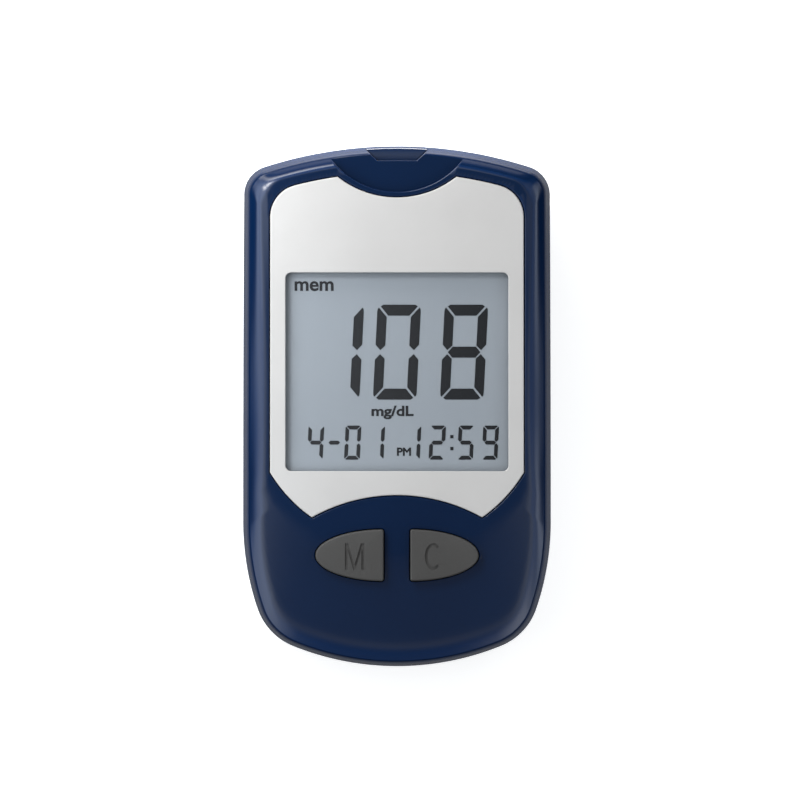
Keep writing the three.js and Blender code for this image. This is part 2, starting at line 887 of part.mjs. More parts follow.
// A slab whose outline changes from one list of points to another of the same length as it rises.
function bevelledCap(low, high, z0, z1) {
  const shape = new THREE.Shape(low.map(([x, y]) => new THREE.Vector2(x, y)));
  const flat = new THREE.ExtrudeGeometry(shape, { depth: z1 - z0, bevelEnabled: false });
  const position = flat.attributes.position;
  const near = (x, y) => low.findIndex(([px, py]) => Math.hypot(px - x, py - y) < 1e-4);
  for (let i = 0; i < position.count; i += 1) {
    if (position.getZ(i) > (z1 - z0) / 2) {
      const [x, y] = high[near(position.getX(i), position.getY(i))];
      position.setXY(i, x, y);
    }
  }
  return solidOf(flat.translate(0, 0, z0));
}

function centredBlock(halfX, halfY, z0, z1) {
  return block(-halfX, halfX, displayY - halfY, displayY + halfY, z0, z1);
}

function windowLens() {
  const outline = roundedRectangle(lensHalfX, lensHalfY, displayY, display.lens_corner_radius);
  return prism(outline, lensBottom, lensTop);
}

// Display tray: a frame that stands on the board, holds the glass, and keeps the two contact strips upright.
function displayTray() {
  const top = displayRoof - fit.stacked;
  const over = fit.overrun;
  const innerX = glassHalfX + fit.running;
  const innerY = glassHalfY + fit.running;
  const ledge = trayFloor - display.tray_ledge_depth;
  const foot = stackZ + display.tray_foot;
  const slotY = zebraPlace();
  const slot = display.zebra_thickness / 2 + fit.moulded;
  return cut(centredBlock(trayHalfX, trayHalfY, stackZ, top), [
    centredBlock(innerX, innerY, trayFloor, top + over),
    centredBlock(innerX - display.tray_wall, rearGlassHalfY - display.tray_wall, ledge, top),
    centredBlock(innerX - display.tray_wall, rearGlassHalfY - display.tray_wall, stackZ - over, foot),
    ...[-1, 1].map((side) => {
      const y = displayY + side * slotY;
      return block(-innerX, innerX, y - slot, y + slot, stackZ - over, top);
    }),
  ]);
}

function zebraPlace() {
  return (glassHalfY + rearGlassHalfY) / 2 + fit.moulded / 2;
}

function zebraStrip(side) {
  const y = displayY + side * zebraPlace();
  const half = display.zebra_thickness / 2;
  return block(-glassHalfX, glassHalfX, y - half, y + half, stackZ, frontGlassBottom - fit.stacked);
}

// Strip port: a ramp that fills the lower part of the mouth, and a channel behind it that leads the strip
// into the socket.
function stripPort() {
  const over = fit.overrun;
  const top = roofZ - port.roof_gap;
  const half = port.body_half_width;
  const slotHalf = port.mouth_half_width;
  const slotTop = port.strip_height + port.strip_gap;
  const guide = block(-half, half, portHeelY, portEndY, stackZ, top).subtract(
    block(-slotHalf, slotHalf, portHeelY - over, portEndY + over, port.strip_height, slotTop),
  );
  const outY = endY + over;
  const drop = (outY - mouthY) * port.ramp_drop_share;
  const shape = new THREE.Shape([
    new THREE.Vector2(portHeelY + over, port.lip_bottom + fit.moulded + port.floor),
    new THREE.Vector2(portHeelY + over, port.strip_height),
    new THREE.Vector2(mouthY, port.strip_height),
    new THREE.Vector2(outY, port.strip_height - drop),
    new THREE.Vector2(outY, port.lip_bottom + fit.moulded),
    new THREE.Vector2(mouthY, port.lip_bottom + fit.moulded),
    new THREE.Vector2(mouthY - over / 2, stackZ),
  ]);
  const width = port.body_half_width * 4;
  const wedge = new THREE.ExtrudeGeometry(shape, { depth: width, bevelEnabled: false });
  wedge.translate(0, 0, -width / 2).rotateY(Math.PI / 2).rotateX(Math.PI / 2);
  const inner = port.mouth_half_width - fit.moulded;
  const neck = block(-inner, inner, portHeelY + over, mouthY + over, port.lip_bottom, port.strip_height);
  const lipShape = joined([prism(mouthOutline(fit.moulded), port.lip_bottom, roofZ), neck]);
  return joined([guide, solidOf(wedge).intersect(lipShape).intersect(frontSolid)]);
}

// Strip socket: a low housing on the board with a groove for each contact.
function stripSocket() {
  const over = fit.overrun;
  const top = roofZ - port.roof_gap;
  const slotHalf = port.mouth_half_width;
  const housing = block(-socket.half_width, socket.half_width, socketHeelY, socketEndY, stackZ, top);
  const slotTop = top - socket.roof;
  const slot = block(-slotHalf, slotHalf, socketHeelY + over, socketEndY + over, port.strip_height, slotTop);
  const grooves = contactPlaces().map((x) =>
    block(
      x - socket.contact_groove / 2,
      x + socket.contact_groove / 2,
      socketHeelY - over,
      socketEndY - socket.contact_width,
      stackZ - over,
      port.strip_height + socket.contact_bump + fit.moulded,
    ),
  );
  return cut(housing, [slot, ...grooves]);
}

function contactPlaces() {
  const first = (-(socket.contact_count - 1) * socket.contact_pitch) / 2;
  return Array.from({ length: socket.contact_count }, (_, i) => first + i * socket.contact_pitch);
}

// A socket contact is one bent strip: a foot on the board, a riser, and a springy arm with a bump.
function socketContact(x) {
  const t = socket.contact_thickness;
  const foot = stackZ + fit.stacked;
  const tailY = socketHeelY - socket.contact_tail;
  const riserY = socketHeelY + t * 2;
  const armY = socketEndY - socket.contact_width * 2;
  const bumpY = armY - socket.contact_width * 2;
  const arm = port.strip_height - t * 2;
  const bump = port.strip_height + socket.contact_bump;
  const shape = new THREE.Shape(
    [
      [tailY, foot],
      [riserY + t, foot],
      [riserY + t, arm - t],
      [bumpY - t, arm - t],
      [bumpY, bump - t],
      [armY - t, arm - t],
      [armY, arm],
      [bumpY, bump],
      [bumpY - t * 2, arm],
      [riserY, arm],
      [riserY, foot + t],
      [tailY, foot + t],
    ].map(([y, z]) => new THREE.Vector2(y, z)),
  );
  const strip = new THREE.ExtrudeGeometry(shape, { depth: socket.contact_width, bevelEnabled: false });
  strip.translate(0, 0, -socket.contact_width / 2).rotateY(Math.PI / 2).rotateX(Math.PI / 2);
  return solidOf(strip.translate(x, 0, 0));
}

// Key: a cap with a rounded top edge, a flange that keeps it under the front shell, and a short post.
function pressKey(side) {
  const edge = key.edge_radius;
  const rim = [0, 1, 2].map((i) => {
    const turn = (Math.PI / 2) * ((i + 1) / 3);
    return [edge * (1 - Math.cos(turn)), keyTop - edge + edge * Math.sin(turn)];
  });
  const rings = [[0, keyBottom + fit.moulded], [0, keyTop - edge], ...rim].map(([inset, z]) =>
    keyOutline(side, -inset).map(([x, y]) => [x, y, z]),
  );
  const cap = ringSolid(rings, keyPost(side), keyY);
  const flange = prism(keyOutline(side, key.flange), keyBottom, keySeat);
  const post = rod(key.post_radius, postBottom, keyBottom + fit.moulded, keyPost(side), keyY, steps.thin_rod);
  return joined([cap, flange, post]);
}

function keyPost(side) {
  return side * (key.gap_half + keyLength / 2);
}

// A loft whose caps close on a point away from the middle of the case.
function ringSolid(rings, x, y) {
  const moved = rings.map((ring) => ring.map(([px, py, pz]) => [px - x, py, pz]));
  return loft(moved, y).translate([x, 0, 0]);
}

function switchBody(side) {
  const x = keyPost(side);
  const half = tact.half_size;
  const boreBottom = plungerBottom - key.travel - fit.moulded;
  const boreRadius = tact.plunger_radius + tact.bore_gap;
  const bore = rod(boreRadius, boreBottom, tactTop + fit.overrun, x, keyY, steps.thin_rod);
  return block(x - half, x + half, keyY - half, keyY + half, stackZ, tactTop).subtract(bore);
}

function switchPlunger(side) {
  return rod(tact.plunger_radius, plungerBottom, plungerTop, keyPost(side), keyY, steps.thin_rod);
}

// Circuit board: the case's outline, drawn in, cut off square at the heel, with a hole for each boss and a
// slot for each battery contact's tail.
function circuitBoard() {
  const over = fit.overrun;
  const heel = heelY + board.heel_from_heel;
  const outline = prism(caseOutline(board.edge_inset), boardBottom, boardTop);
  const kept = outline.intersect(block(-sideX, sideX, heel, endY, boardBottom - over, boardTop + over));
  const tailY = bayEndY - contact.plate_thickness - contact.gap;
  const tails = [-1, 1].map((side) =>
    block(
      (side * cell.pitch) / 2 - contact.tail_half_width - fit.moulded,
      (side * cell.pitch) / 2 + contact.tail_half_width + fit.moulded,
      tailY - fit.moulded,
      tailY + contact.plate_thickness + fit.moulded,
      boardBottom - over,
      boardTop + over,
    ),
  );
  return cut(kept, [
    ...tails,
    ...bosses.map(([, x, y]) => rod(boss.outer_radius + fit.running, boardBottom - over, boardTop + over, x, y)),
  ]);
}

// Chips hang under the board, in the space between the battery bay and the strip end.
function mainChip() {
  const top = boardBottom - fit.stacked;
  const half = chip.main_half;
  const y = bayEndY + bay.wall + chip.main_from_bay;
  const first = (-(chip.lead_count - 1) * chip.lead_pitch) / 2;
  const reach = half + chip.lead_reach;
  const low = top - chip.lead_thickness;
  const leads = Array.from({ length: chip.lead_count }, (_, i) => {
    const at = first + i * chip.lead_pitch;
    const wide = chip.lead_width / 2;
    return [
      block(chip.main_x + at - wide, chip.main_x + at + wide, y - reach, y + reach, low, top),
      block(chip.main_x - reach, chip.main_x + reach, y + at - wide, y + at + wide, low, top),
    ];
  }).flat();
  const bottom = top - chip.main_thickness;
  return joined([block(chip.main_x - half, chip.main_x + half, y - half, y + half, bottom, top), ...leads]);
}

function signalChip() {
  const top = boardBottom - fit.stacked;
  const y = bayEndY + bay.wall + chip.main_from_bay;
  const [hx, hy] = [chip.small_half_x, chip.small_half_y];
  const leads = [-1, 0, 1].map((i) => {
    const at = i * chip.lead_pitch - chip.small_x;
    const wide = chip.lead_width / 2;
    const reach = hy + chip.lead_reach;
    return block(at - wide, at + wide, y - reach, y + reach, top - chip.lead_thickness, top);
  });
  const x = -chip.small_x;
  const bottom = top - chip.small_thickness;
  return joined([block(x - hx, x + hx, y - hy, y + hy, bottom, top), ...leads]);
}

function clockCrystal() {
  const radius = chip.crystal_radius;
  const can = new THREE.CapsuleGeometry(radius, chip.crystal_length - radius * 2, 3, steps.thin_rod);
  const y = bayEndY + bay.wall + chip.main_from_bay;
  return solidOf(can.translate(-chip.crystal_x, y, boardBottom - fit.stacked - radius));
}

function buzzer() {
  const y = endY - chip.buzzer_from_end;
  const x = -(socket.half_width + chip.buzzer_gap + chip.buzzer_radius);
  const top = stackZ + chip.buzzer_height;
  const hole = rod(chip.buzzer_hole_radius, top - chip.buzzer_hole_radius, top + fit.overrun, x, y, steps.thin_rod);
  return rod(chip.buzzer_radius, stackZ, top, x, y).subtract(hole);
}

// Case screw: it comes in from the back, and its head stops at the floor of the counterbore.
function caseScrew(x, y) {
  const seat = boss.counterbore_depth - fit.stacked;
  const bottom = seat - screw.head_height;
  const head = rod(screw.head_radius, bottom, seat, x, y, steps.thin_rod);
  const shank = rod(screw.shank_radius, seat - screw.head_height / 2, seat + screw.length, x, y, steps.thin_rod);
  const drive = rod(screw.drive_radius, bottom - fit.overrun, bottom + screw.drive_depth, x, y, steps.small_arc);
  return joined([head, shank]).subtract(drive);
}

// A round dry cell. The left one has its nub towards the strip end, the right one towards the heel.
function dryCell(side) {
  const r = cell.radius;
  const e = cell.edge_radius;
  const shoulder = cell.length - cell.nub_length;
  const profile = [
    [0, 0],
    [r - e, 0],
    [r, e],
    [r, shoulder - e],
    [r - e, shoulder],
    [cell.nub_radius, shoulder],
    [cell.nub_radius, cell.length],
    [0, cell.length],
  ].map(([x, y]) => new THREE.Vector2(x, y));
  const lathe = new THREE.LatheGeometry(profile, steps.rod);
  const springEnd = contact.plate_thickness + contact.spring_length + contact.gap * 3;
  if (side > 0) {
    lathe.rotateZ(Math.PI).translate(0, bayEndY - springEnd, 0);
  } else {
    lathe.translate(0, bayHeelY + springEnd, 0);
  }
  return solidOf(lathe.translate((side * cell.pitch) / 2, 0, cellZ));
}

// A point on the centre line of the conical coil: it winds in as it rises from the contact plate.
function coilCentre(share) {
  const wire = contact.wire_radius;
  const draw = contact.spring_wall_radius - contact.spring_cell_radius;
  return {
    radius: contact.spring_wall_radius - draw * share,
    turn: share * steps.coil_turns * Math.PI * 2,
    y: wire + (contact.spring_length - wire * 2) * share,
  };
}

// The least gap between one turn of the wire and the next, measured on points.
function coilGap() {
  const count = steps.coil_turns * steps.coil_steps;
  const points = Array.from({ length: count + 1 }, (_, i) => {
    const { radius, turn, y } = coilCentre(i / count);
    return new THREE.Vector3(radius * Math.cos(turn), y, radius * Math.sin(turn));
  });
  const far = Math.floor(steps.coil_steps / 2);
  const gaps = points.flatMap((point, i) => points.slice(i + far).map((other) => point.distanceTo(other)));
  return Math.min(...gaps) - contact.wire_radius * 2;
}

// A conical coil spring between a contact plate and the flat end of a cell.
function cellSpring(side) {
  const count = steps.coil_turns * steps.coil_steps;
  const sides = steps.coil_sides;
  const wire = contact.wire_radius;
  const position = [];
  for (let i = 0; i <= count; i += 1) {
    const { radius, turn, y } = coilCentre(i / count);
    for (let k = 0; k < sides; k += 1) {
      const round = (k / sides) * Math.PI * 2;
      const reach = radius + wire * Math.cos(round);
      position.push(reach * Math.cos(turn), y + wire * Math.sin(round), -reach * Math.sin(turn));
    }
  }
  const index = [];
  for (let i = 0; i < count; i += 1) {
    for (let k = 0; k < sides; k += 1) {
      const a = i * sides + k;
      const b = i * sides + ((k + 1) % sides);
      index.push(a, a + sides, b, b, a + sides, b + sides);
    }
  }
  for (let k = 1; k < sides - 1; k += 1) {
    index.push(0, k, k + 1);
    index.push(count * sides, count * sides + k + 1, count * sides + k);
  }
  const coil = new THREE.BufferGeometry();
  coil.setAttribute("position", new THREE.Float32BufferAttribute(position, 3));
  coil.setIndex(index);
  const away = contact.gap * 2 + contact.plate_thickness;
  if (side > 0) {
    coil.rotateZ(Math.PI).translate(0, bayEndY - away, 0);
  } else {
    coil.translate(0, bayHeelY + away, 0);
  }
  return solidOf(coil.translate((side * cell.pitch) / 2, 0, cellZ));
}

// The contacts at the strip end each have a tail that goes up through the bay and the board.
function endContact(side) {
  const x = (side * cell.pitch) / 2;
  const y = bayEndY - contact.gap;
  const half = contact.plate_half_width;
  const tall = contact.plate_height / 2;
  const plate = block(x - half, x + half, y - contact.plate_thickness, y, cellZ - tall, cellZ + tall);
  const tailHalf = contact.tail_half_width;
  const tail = block(x - tailHalf, x + tailHalf, y - contact.plate_thickness, y, cellZ, boardTop - fit.stacked);
  return joined([plate, tail]);
}

function bridgeContact() {
  const y = bayHeelY + contact.gap;
  const half = cell.pitch / 2 + contact.plate_half_width;
  const tall = contact.plate_height / 2;
  return block(-half, half, y, y + contact.plate_thickness, cellZ - tall, cellZ + tall);
}

// Finishes, with the colours of the photographed meter.
function finish(color, roughness, metalness = 0, opacity = 1) {
  return new THREE.MeshStandardMaterial({ color, roughness, metalness, opacity, transparent: opacity < 1 });
}

const navy = finish(0x162c52, 0.32);
const silver = finish(0xd2d3d4, 0.38, 0.2);
const keyGrey = finish(0x565654, 0.6);
const clear = finish(0xe8eef2, 0.05, 0, 0.3);
const glass = finish(0xb4bec6, 0.1, 0, 0.6);
const film = finish(0x96a2ad, 0.3);
const reflective = finish(0xa4adb4, 0.4, 0.3);
const trayWhite = finish(0xe6e6e2, 0.6);
const zebraPink = finish(0x8b6a6c, 0.7);
const boardGreen = finish(0x1f5b3a, 0.5);
const black = finish(0x1b1b1d, 0.6);
const steel = finish(0xb9babc, 0.3, 0.9);
const gold = finish(0xc9a24a, 0.3, 0.9);
const cellJacket = finish(0x3c4046, 0.35, 0.3);

const meter = new THREE.Group();
meter.name = "glucose_meter";

function add(name, solid, material, parent = meter) {
  const mesh = new THREE.Mesh(geometryOf(solid), material);
  mesh.name = name;
  parent.add(mesh);
}

const caseGroup = new THREE.Group();
const displayGroup = new THREE.Group();
const boardGroup = new THREE.Group();
const powerGroup = new THREE.Group();
meter.add(caseGroup, displayGroup, boardGroup, powerGroup);

add("front_shell", frontShell(), navy, caseGroup);
add("rear_shell", rearShell(), navy, caseGroup);
add("battery_door", batteryDoor(), navy, caseGroup);
add("faceplate", faceplateSolid(), silver, caseGroup);
add("strip_port", stripPort(), navy, caseGroup);
bosses.forEach(([name, x, y]) => add(`case_screw_${name}`, caseScrew(x, y), steel, caseGroup));

add("window_lens", windowLens(), clear, displayGroup);
add(
  "display_front_film",
  centredBlock(
    viewHalfX + display.film_border,
    viewHalfY + display.film_border / 2,
    frontGlassTop + fit.stacked,
    filmTop,
  ),
  film,
  displayGroup,
);
const frontGlass = centredBlock(glassHalfX, glassHalfY, frontGlassBottom, frontGlassTop);
const rearGlass = centredBlock(glassHalfX, rearGlassHalfY, rearGlassBottom, rearGlassTop);
add("display_front_glass", frontGlass, glass, displayGroup);
add("display_rear_glass", rearGlass, glass, displayGroup);
add(
  "display_reflector",
  centredBlock(viewHalfX, rearGlassHalfY, reflectorBottom, reflectorTop),
  reflective,
  displayGroup,
);
add("display_tray", displayTray(), trayWhite, displayGroup);
add("contact_strip_end", zebraStrip(1), zebraPink, displayGroup);
add("contact_strip_heel", zebraStrip(-1), zebraPink, displayGroup);

add("circuit_board", circuitBoard(), boardGreen, boardGroup);
add("main_chip", mainChip(), black, boardGroup);
add("signal_chip", signalChip(), black, boardGroup);
add("clock_crystal", clockCrystal(), steel, boardGroup);
add("buzzer", buzzer(), black, boardGroup);
add("strip_socket", stripSocket(), black, boardGroup);
contactPlaces().forEach((x, i) => add(`strip_contact_${i + 1}`, socketContact(x), gold, boardGroup));

[
  ["left", -1],
  ["right", 1],
].forEach(([name, side]) => {
  add(`${name}_button`, pressKey(side), keyGrey, caseGroup);
  add(`${name}_switch_plunger`, switchPlunger(side), black, boardGroup);
  add(`${name}_switch_body`, switchBody(side), steel, boardGroup);
  add(`${name}_battery`, dryCell(side), cellJacket, powerGroup);
  add(`${name}_battery_spring`, cellSpring(side), steel, powerGroup);
  add(`${name}_battery_contact`, endContact(side), steel, powerGroup);
});
add("battery_bridge_contact", bridgeContact(), steel, powerGroup);

console.log(`the least gap of a battery spring to itself is ${coilGap().toFixed(2)} mm`);

export default meter;
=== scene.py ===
import json
import math
from collections import namedtuple
from contextlib import contextmanager

import bmesh
import bpy
from mathutils import Matrix, Vector


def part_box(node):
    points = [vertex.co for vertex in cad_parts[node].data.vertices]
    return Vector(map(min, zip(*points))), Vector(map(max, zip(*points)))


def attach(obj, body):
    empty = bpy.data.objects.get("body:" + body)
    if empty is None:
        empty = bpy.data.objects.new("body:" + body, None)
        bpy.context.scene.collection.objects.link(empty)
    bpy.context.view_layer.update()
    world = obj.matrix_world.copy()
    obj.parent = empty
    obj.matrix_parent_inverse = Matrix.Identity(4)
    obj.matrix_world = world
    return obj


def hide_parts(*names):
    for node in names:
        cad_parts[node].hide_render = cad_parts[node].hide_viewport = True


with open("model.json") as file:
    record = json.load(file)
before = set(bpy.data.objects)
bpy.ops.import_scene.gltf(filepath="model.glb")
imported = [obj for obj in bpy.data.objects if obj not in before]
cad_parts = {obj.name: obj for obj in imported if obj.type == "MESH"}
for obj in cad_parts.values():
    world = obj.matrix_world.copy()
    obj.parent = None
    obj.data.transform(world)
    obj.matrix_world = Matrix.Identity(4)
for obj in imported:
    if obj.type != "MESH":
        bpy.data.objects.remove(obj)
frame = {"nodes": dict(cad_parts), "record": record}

bl_info = {
    "name": "Blood glucose meter",
    "version": (1, 0, 0),
    "blender": (4, 5, 0),
    "location": "View3D > Sidebar > Meter",
    "description": "Dresses a blood glucose meter around its CAD frame",
    "category": "Object",
}

MM = 0.001
FULL_TURN = 2 * math.pi
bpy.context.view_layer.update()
FRONT_LOW, FRONT_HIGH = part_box("front_shell")
PLATE_LOW, PLATE_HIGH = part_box("faceplate")
DOOR_LOW, DOOR_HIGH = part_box("battery_door")
LENS_LOW, LENS_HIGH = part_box("window_lens")
GLASS_LOW, GLASS_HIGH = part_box("display_front_glass")
FILM_LOW, FILM_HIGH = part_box("display_front_film")
KEY_LOW, KEY_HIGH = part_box("right_button")
SCREWS = [name for name in frame["nodes"] if name.startswith("case_screw_")]
END_Y = FRONT_HIGH.y
HEEL_Y = FRONT_LOW.y
SIDE_X = FRONT_HIGH.x
FACE_Z = FRONT_HIGH.z
SEAM_Z = FRONT_LOW.z
REAR_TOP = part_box("rear_shell")[1].z
KEYS_Y = (KEY_LOW.y + KEY_HIGH.y) / 2

# Well above the meter, for cutters that come out at the top and for rays that look down.
CLEAR_Z = FACE_Z * 2

# How finely the round shapes are divided. The case's counts are for one arc each, from the strip end to
# the heel.
CASE_STEPS = (36, 26, 14, 20, 32, 24)
SHOULDER_STEPS = 10
SLOPE_STEPS = 16
BACK_STEPS = 16
RIM_STEPS = 4
BEVEL_STEPS = 2
CROWN_STEPS = 5
ARC_STEPS = 48
SMALL_STEPS = 12
KEY_STEPS = 72
CELL_SIDES = 96
NUB_SIDES = 64

# Edges sharper than the first angle stay sharp. Faces flatter to each other than the second become one.
SMOOTH_ANGLE = math.radians(34)
FLAT_ANGLE = math.radians(0.05)
MERGE_DISTANCE = MM / 1000

# An opening's edge is rounded through this angle, and takes no more than this share of a shallow opening.
RIM_ANGLE = math.radians(66)
RIM_SHARE = 0.6

# The middle of the flare round an opening in the back, as a share of the flare's size.
FLARE_MIDDLE = 0.3

# Where a cell's copper band starts, as a share of the cell's length from its flat end.
BAND_START = 0.8


def length(name, default, description):
    return bpy.props.FloatProperty(
        name=name, default=default, description=description, unit="LENGTH", precision=5
    )


def share(name, default, description):
    return bpy.props.FloatProperty(
        name=name, default=default, description=description, subtype="FACTOR", min=0, max=1
    )


def colour(name, default, description):
    return bpy.props.FloatVectorProperty(
        name=name, default=default, description=description, subtype="COLOR", size=4, min=0, max=1
    )


class MeterCaseSizes(bpy.types.PropertyGroup):
    """Sizes of the two shells of the case."""

    end_radius: length("End radius", 0.0799, "Radius of the flat arc at the strip end")
    end_corner_radius: length("End corner", 0.00536, "Radius of the corners at the strip end")
    side_radius: length("Side radius", 10.0, "Radius of the nearly straight sides")
    flank_start: length("Flank start", 0.02665, "From the heel to where the flanks begin to draw in")
    flank_radius: length("Flank radius", 0.0495, "Radius of the flanks")
    heel_corner_radius: length("Heel corner", 0.0114, "Radius of the corners at the heel")
    heel_radius: length("Heel radius", 0.0512, "Radius of the flat arc at the heel")
    seam_chamfer: length("Seam chamfer", 0.0002, "Chamfer on both edges of the seam")
    wall_draft: length("Wall draft", 0.00055, "How far the front's wall leans in")
    wall_top_below: length("Wall top", 0.0038, "From the face down to where the wall starts to bend")
    shoulder_inset: length("Shoulder inset", 0.0014, "From the side in to the end of the shoulder")
    shoulder_below: length("Shoulder depth", 0.0014, "From the face down to the end of the shoulder")
    shoulder_handle: length("Shoulder handle", 0.002, "How far the wall runs on before the bend")
    slope_round: length("Slope round", 0.00325, "How far in the round part of the slope reaches")
    slope_straight: share("Slope straight", 0.75, "How straight the slope is where it is widest")
    plateau_end_inset: length("Plateau end", 0.0033, "From the strip end in to the plateau")
    plateau_corner_radius: length("Plateau corner", 0.0035, "Radius of the plateau's end corners")
    plateau_rim: length("Plateau rim", 0.0004, "From the faceplate out to the plateau's edge")
    plateau_from_heel: length("Plateau to heel", 0.0203, "From the heel to the plateau's crease")
    plateau_bulge: length("Plateau bulge", 0.00595, "How much larger than half its width its heel arc is")
    plateau_heel_corner: length("Crease corner", 0.008, "Radius of the corners at the ends of the crease")
    back_round_inset: length("Back round in", 0.0046, "How far in the back's round edge reaches")
    back_round_height: length("Back round up", 0.0075, "How high the back's round edge reaches")
    seam_height: length("Seam height", 0.0105, "Top edge of the rear shell")
    skin: length("Skin", 0.0008, "Thickness of the fine skin over the moulding")
    skin_overlap: length("Skin overlap", 0.0003, "How far the moulding reaches into the skin")
    rim_radius: length("Rim radius", 0.00028, "Rounding of the edges round each opening")
    fine_gap: length("Fine gap", 0.00002, "How much wider than the moulding's the fine openings are")


class MeterFrontSizes(bpy.types.PropertyGroup):
    """Sizes of what is let into the front shell."""

    plate_clearance: length("Plate clearance", 0.00015, "Gap round the faceplate")
    plate_bed: length("Plate bed", 0.00005, "Gap under the faceplate")
    key_clearance: length("Key clearance", 0.00015, "Gap round each key")
    well_rim: length("Key well rim", 0.0001, "Rounding of the edge round each key")
    glass_clearance: length("Glass clearance", 0.00025, "Gap round the display's glasses")
    scoop_radius: length("Scoop radius", 0.0152, "Radius of the round scoop")
    scoop_from_end: length("Scoop depth", 0.00832, "From the strip end in to the scoop's edge")
    mouth_half_width: length("Mouth half width", 0.0036, "Half the mouth's inner width")
    mouth_from_end: length("Mouth depth", 0.0026, "From the strip end in to the mouth's inner edge")
    mouth_flare: share("Mouth flare", 0.52, "How fast the mouth widens on both sides, out of 2")
    mouth_bottom: length("Mouth bottom", 0.015, "Height of the mouth's lower edge")
    lens_corner_radius: length("Lens corner", 0.002, "Radius of the corners of the pocket for the window")
    port_edge: length("Port edge", 0.0001, "Rounding of the strip port's edges")


class MeterPlateSizes(bpy.types.PropertyGroup):
    """Sizes of the faceplate."""

    end_inset: length("End inset", 0.0048, "From the strip end in to the faceplate")
    corner_radius: length("Corner radius", 0.006, "Radius of the end corners")
    heel_margin: length("Heel margin", 0.0025, "From the plateau's crease in to the faceplate's tips")
    notch_radius: length("Notch radius", 0.0176, "Radius of the notch over the scoop")
    notch_from_end: length("Notch depth", 0.0094, "From the strip end in to the notch")
    arch_radius: length("Arch radius", 0.03205, "Radius of the arch over the keys")
    arch_from_window: length("Arch to window", 0.0044, "From the window down to the arch")
    window_border: length("Window border", 0.00285, "From the faceplate's side in to the window")
    window_from_end: length("Window to end", 0.0232, "From the strip end in to the window")
    window_from_key: length("Window to keys", 0.01545, "From the middle of the keys up to the window")
    window_corner_radius: length("Window corner", 0.00107, "Radius of the window's corners")
    edge_radius: length("Edge radius", 0.00018, "Rounding of the top edges")


class MeterKeySizes(bpy.types.PropertyGroup):
    """Sizes of the two keys."""

    gap_half: length("Half gap", 0.00245, "From the middle to each key's flat side")
    reach: length("Reach", 0.01255, "From the flat side to the tip")
    half_width: length("Half width", 0.00475, "Half the flat side")
    corner_radius: length("Corner radius", 0.0004, "Radius of the corners of the flat side")
    edge_radius: length("Edge radius", 0.00036, "Rounding of the top edge")
    crown: length("Crown", 0.00012, "How much higher the middle of the top is")
    legend_depth: length("Legend depth", 0.00022, "How deep the legends are sunk")
    legend_stroke: length("Legend stroke", 0.0005, "Width of a legend's strokes")
    legend_height: length("Legend height", 0.00484, "Height of a legend")
    left_legend_width: length("Left legend", 0.00353, "Width of the left legend")
    left_legend_x: length("Left legend place", -0.00781, "Middle of the left legend")
    right_legend_width: length("Right legend", 0.0031, "Width of the right legend")
    right_legend_x: length("Right legend place", 0.00668, "Middle of the right legend")
    legend_y: length("Legend place", -0.0002, "From the middle of the keys to the middle of the legends")
    skirt_below: length("Skirt", 0.0038, "From the face down to where the fine cap starts")
    cap_overlap: length("Cap overlap", 0.00005, "How far the fine cap reaches into the moulding under it")
    crown_middle: share("Crown middle", 0.42, "Where the top is highest, from the flat side to the tip")


class MeterDoorSizes(bpy.types.PropertyGroup):
    """Sizes of the battery door."""

    rail_reach: length("Rail reach", 0.0011, "How far the rails stand out on each side")
    end_y: length("End edge", 0.0142, "Where the door's end edge is, along the case")
    heel_height: length("Heel height", 0.0074, "How far the door reaches up the heel")
    edge_radius: length("Edge radius", 0.0003, "Rounding of the door's edges")
    clearance: length("Clearance", 0.00015, "Gap round the door")
    groove_count: bpy.props.IntProperty(
        name="Grooves", default=5, description="Number of grip grooves", min=1
    )
    groove_half_length: length("Groove half length", 0.006, "Half the length of a grip groove")
    groove_radius: length("Groove radius", 0.00048, "Radius of a grip groove's round floor")
    groove_end_round: share("Groove ends", 0.8, "How much of its radius a groove's ends are rounded by")
    groove_pitch: length("Groove pitch", 0.002, "From one grip groove to the next")
    groove_depth: length("Groove depth", 0.0004, "Depth of a grip groove")
    groove_from_heel: length("Grooves to heel", 0.0134, "From the heel to the first grip groove")


class MeterBackSizes(bpy.types.PropertyGroup):
    """Sizes of the screws and of their recesses in the back."""

    recess_radius: length("Recess radius", 0.00237, "Radius of a screw's recess")
    recess_depth: length("Recess depth", 0.0052, "Depth of a screw's recess")
    head_radius: length("Head radius", 0.0019, "Radius of a screw's head")
    head_height: length("Head height", 0.0013, "Height of a screw's head")
    head_edge: length("Head edge", 0.000325, "Rounding of a screw's head")
    shank_radius: length("Shank radius", 0.0008, "Radius of a screw's thread")
    cross_reach: length("Cross reach", 0.00105, "Half the length of each slot in the head")
    cross_half: length("Cross half", 0.00022, "Half the width of each slot in the head")
    cross_depth: length("Cross depth", 0.0007, "Depth of the slots in the head")


class MeterCellSizes(bpy.types.PropertyGroup):
    """Sizes of the dry cells, beside those that the frame gives."""

    nub_height: length("Nub height", 0.0009, "How far the nub stands out")
    nub_radius: length("Nub radius", 0.0019, "Radius of the nub")
    can_edge: length("Can edge", 0.00045, "Rounding of the can's edges")
    nub_edge: length("Nub edge", 0.00025, "Rounding of the nub's edge")


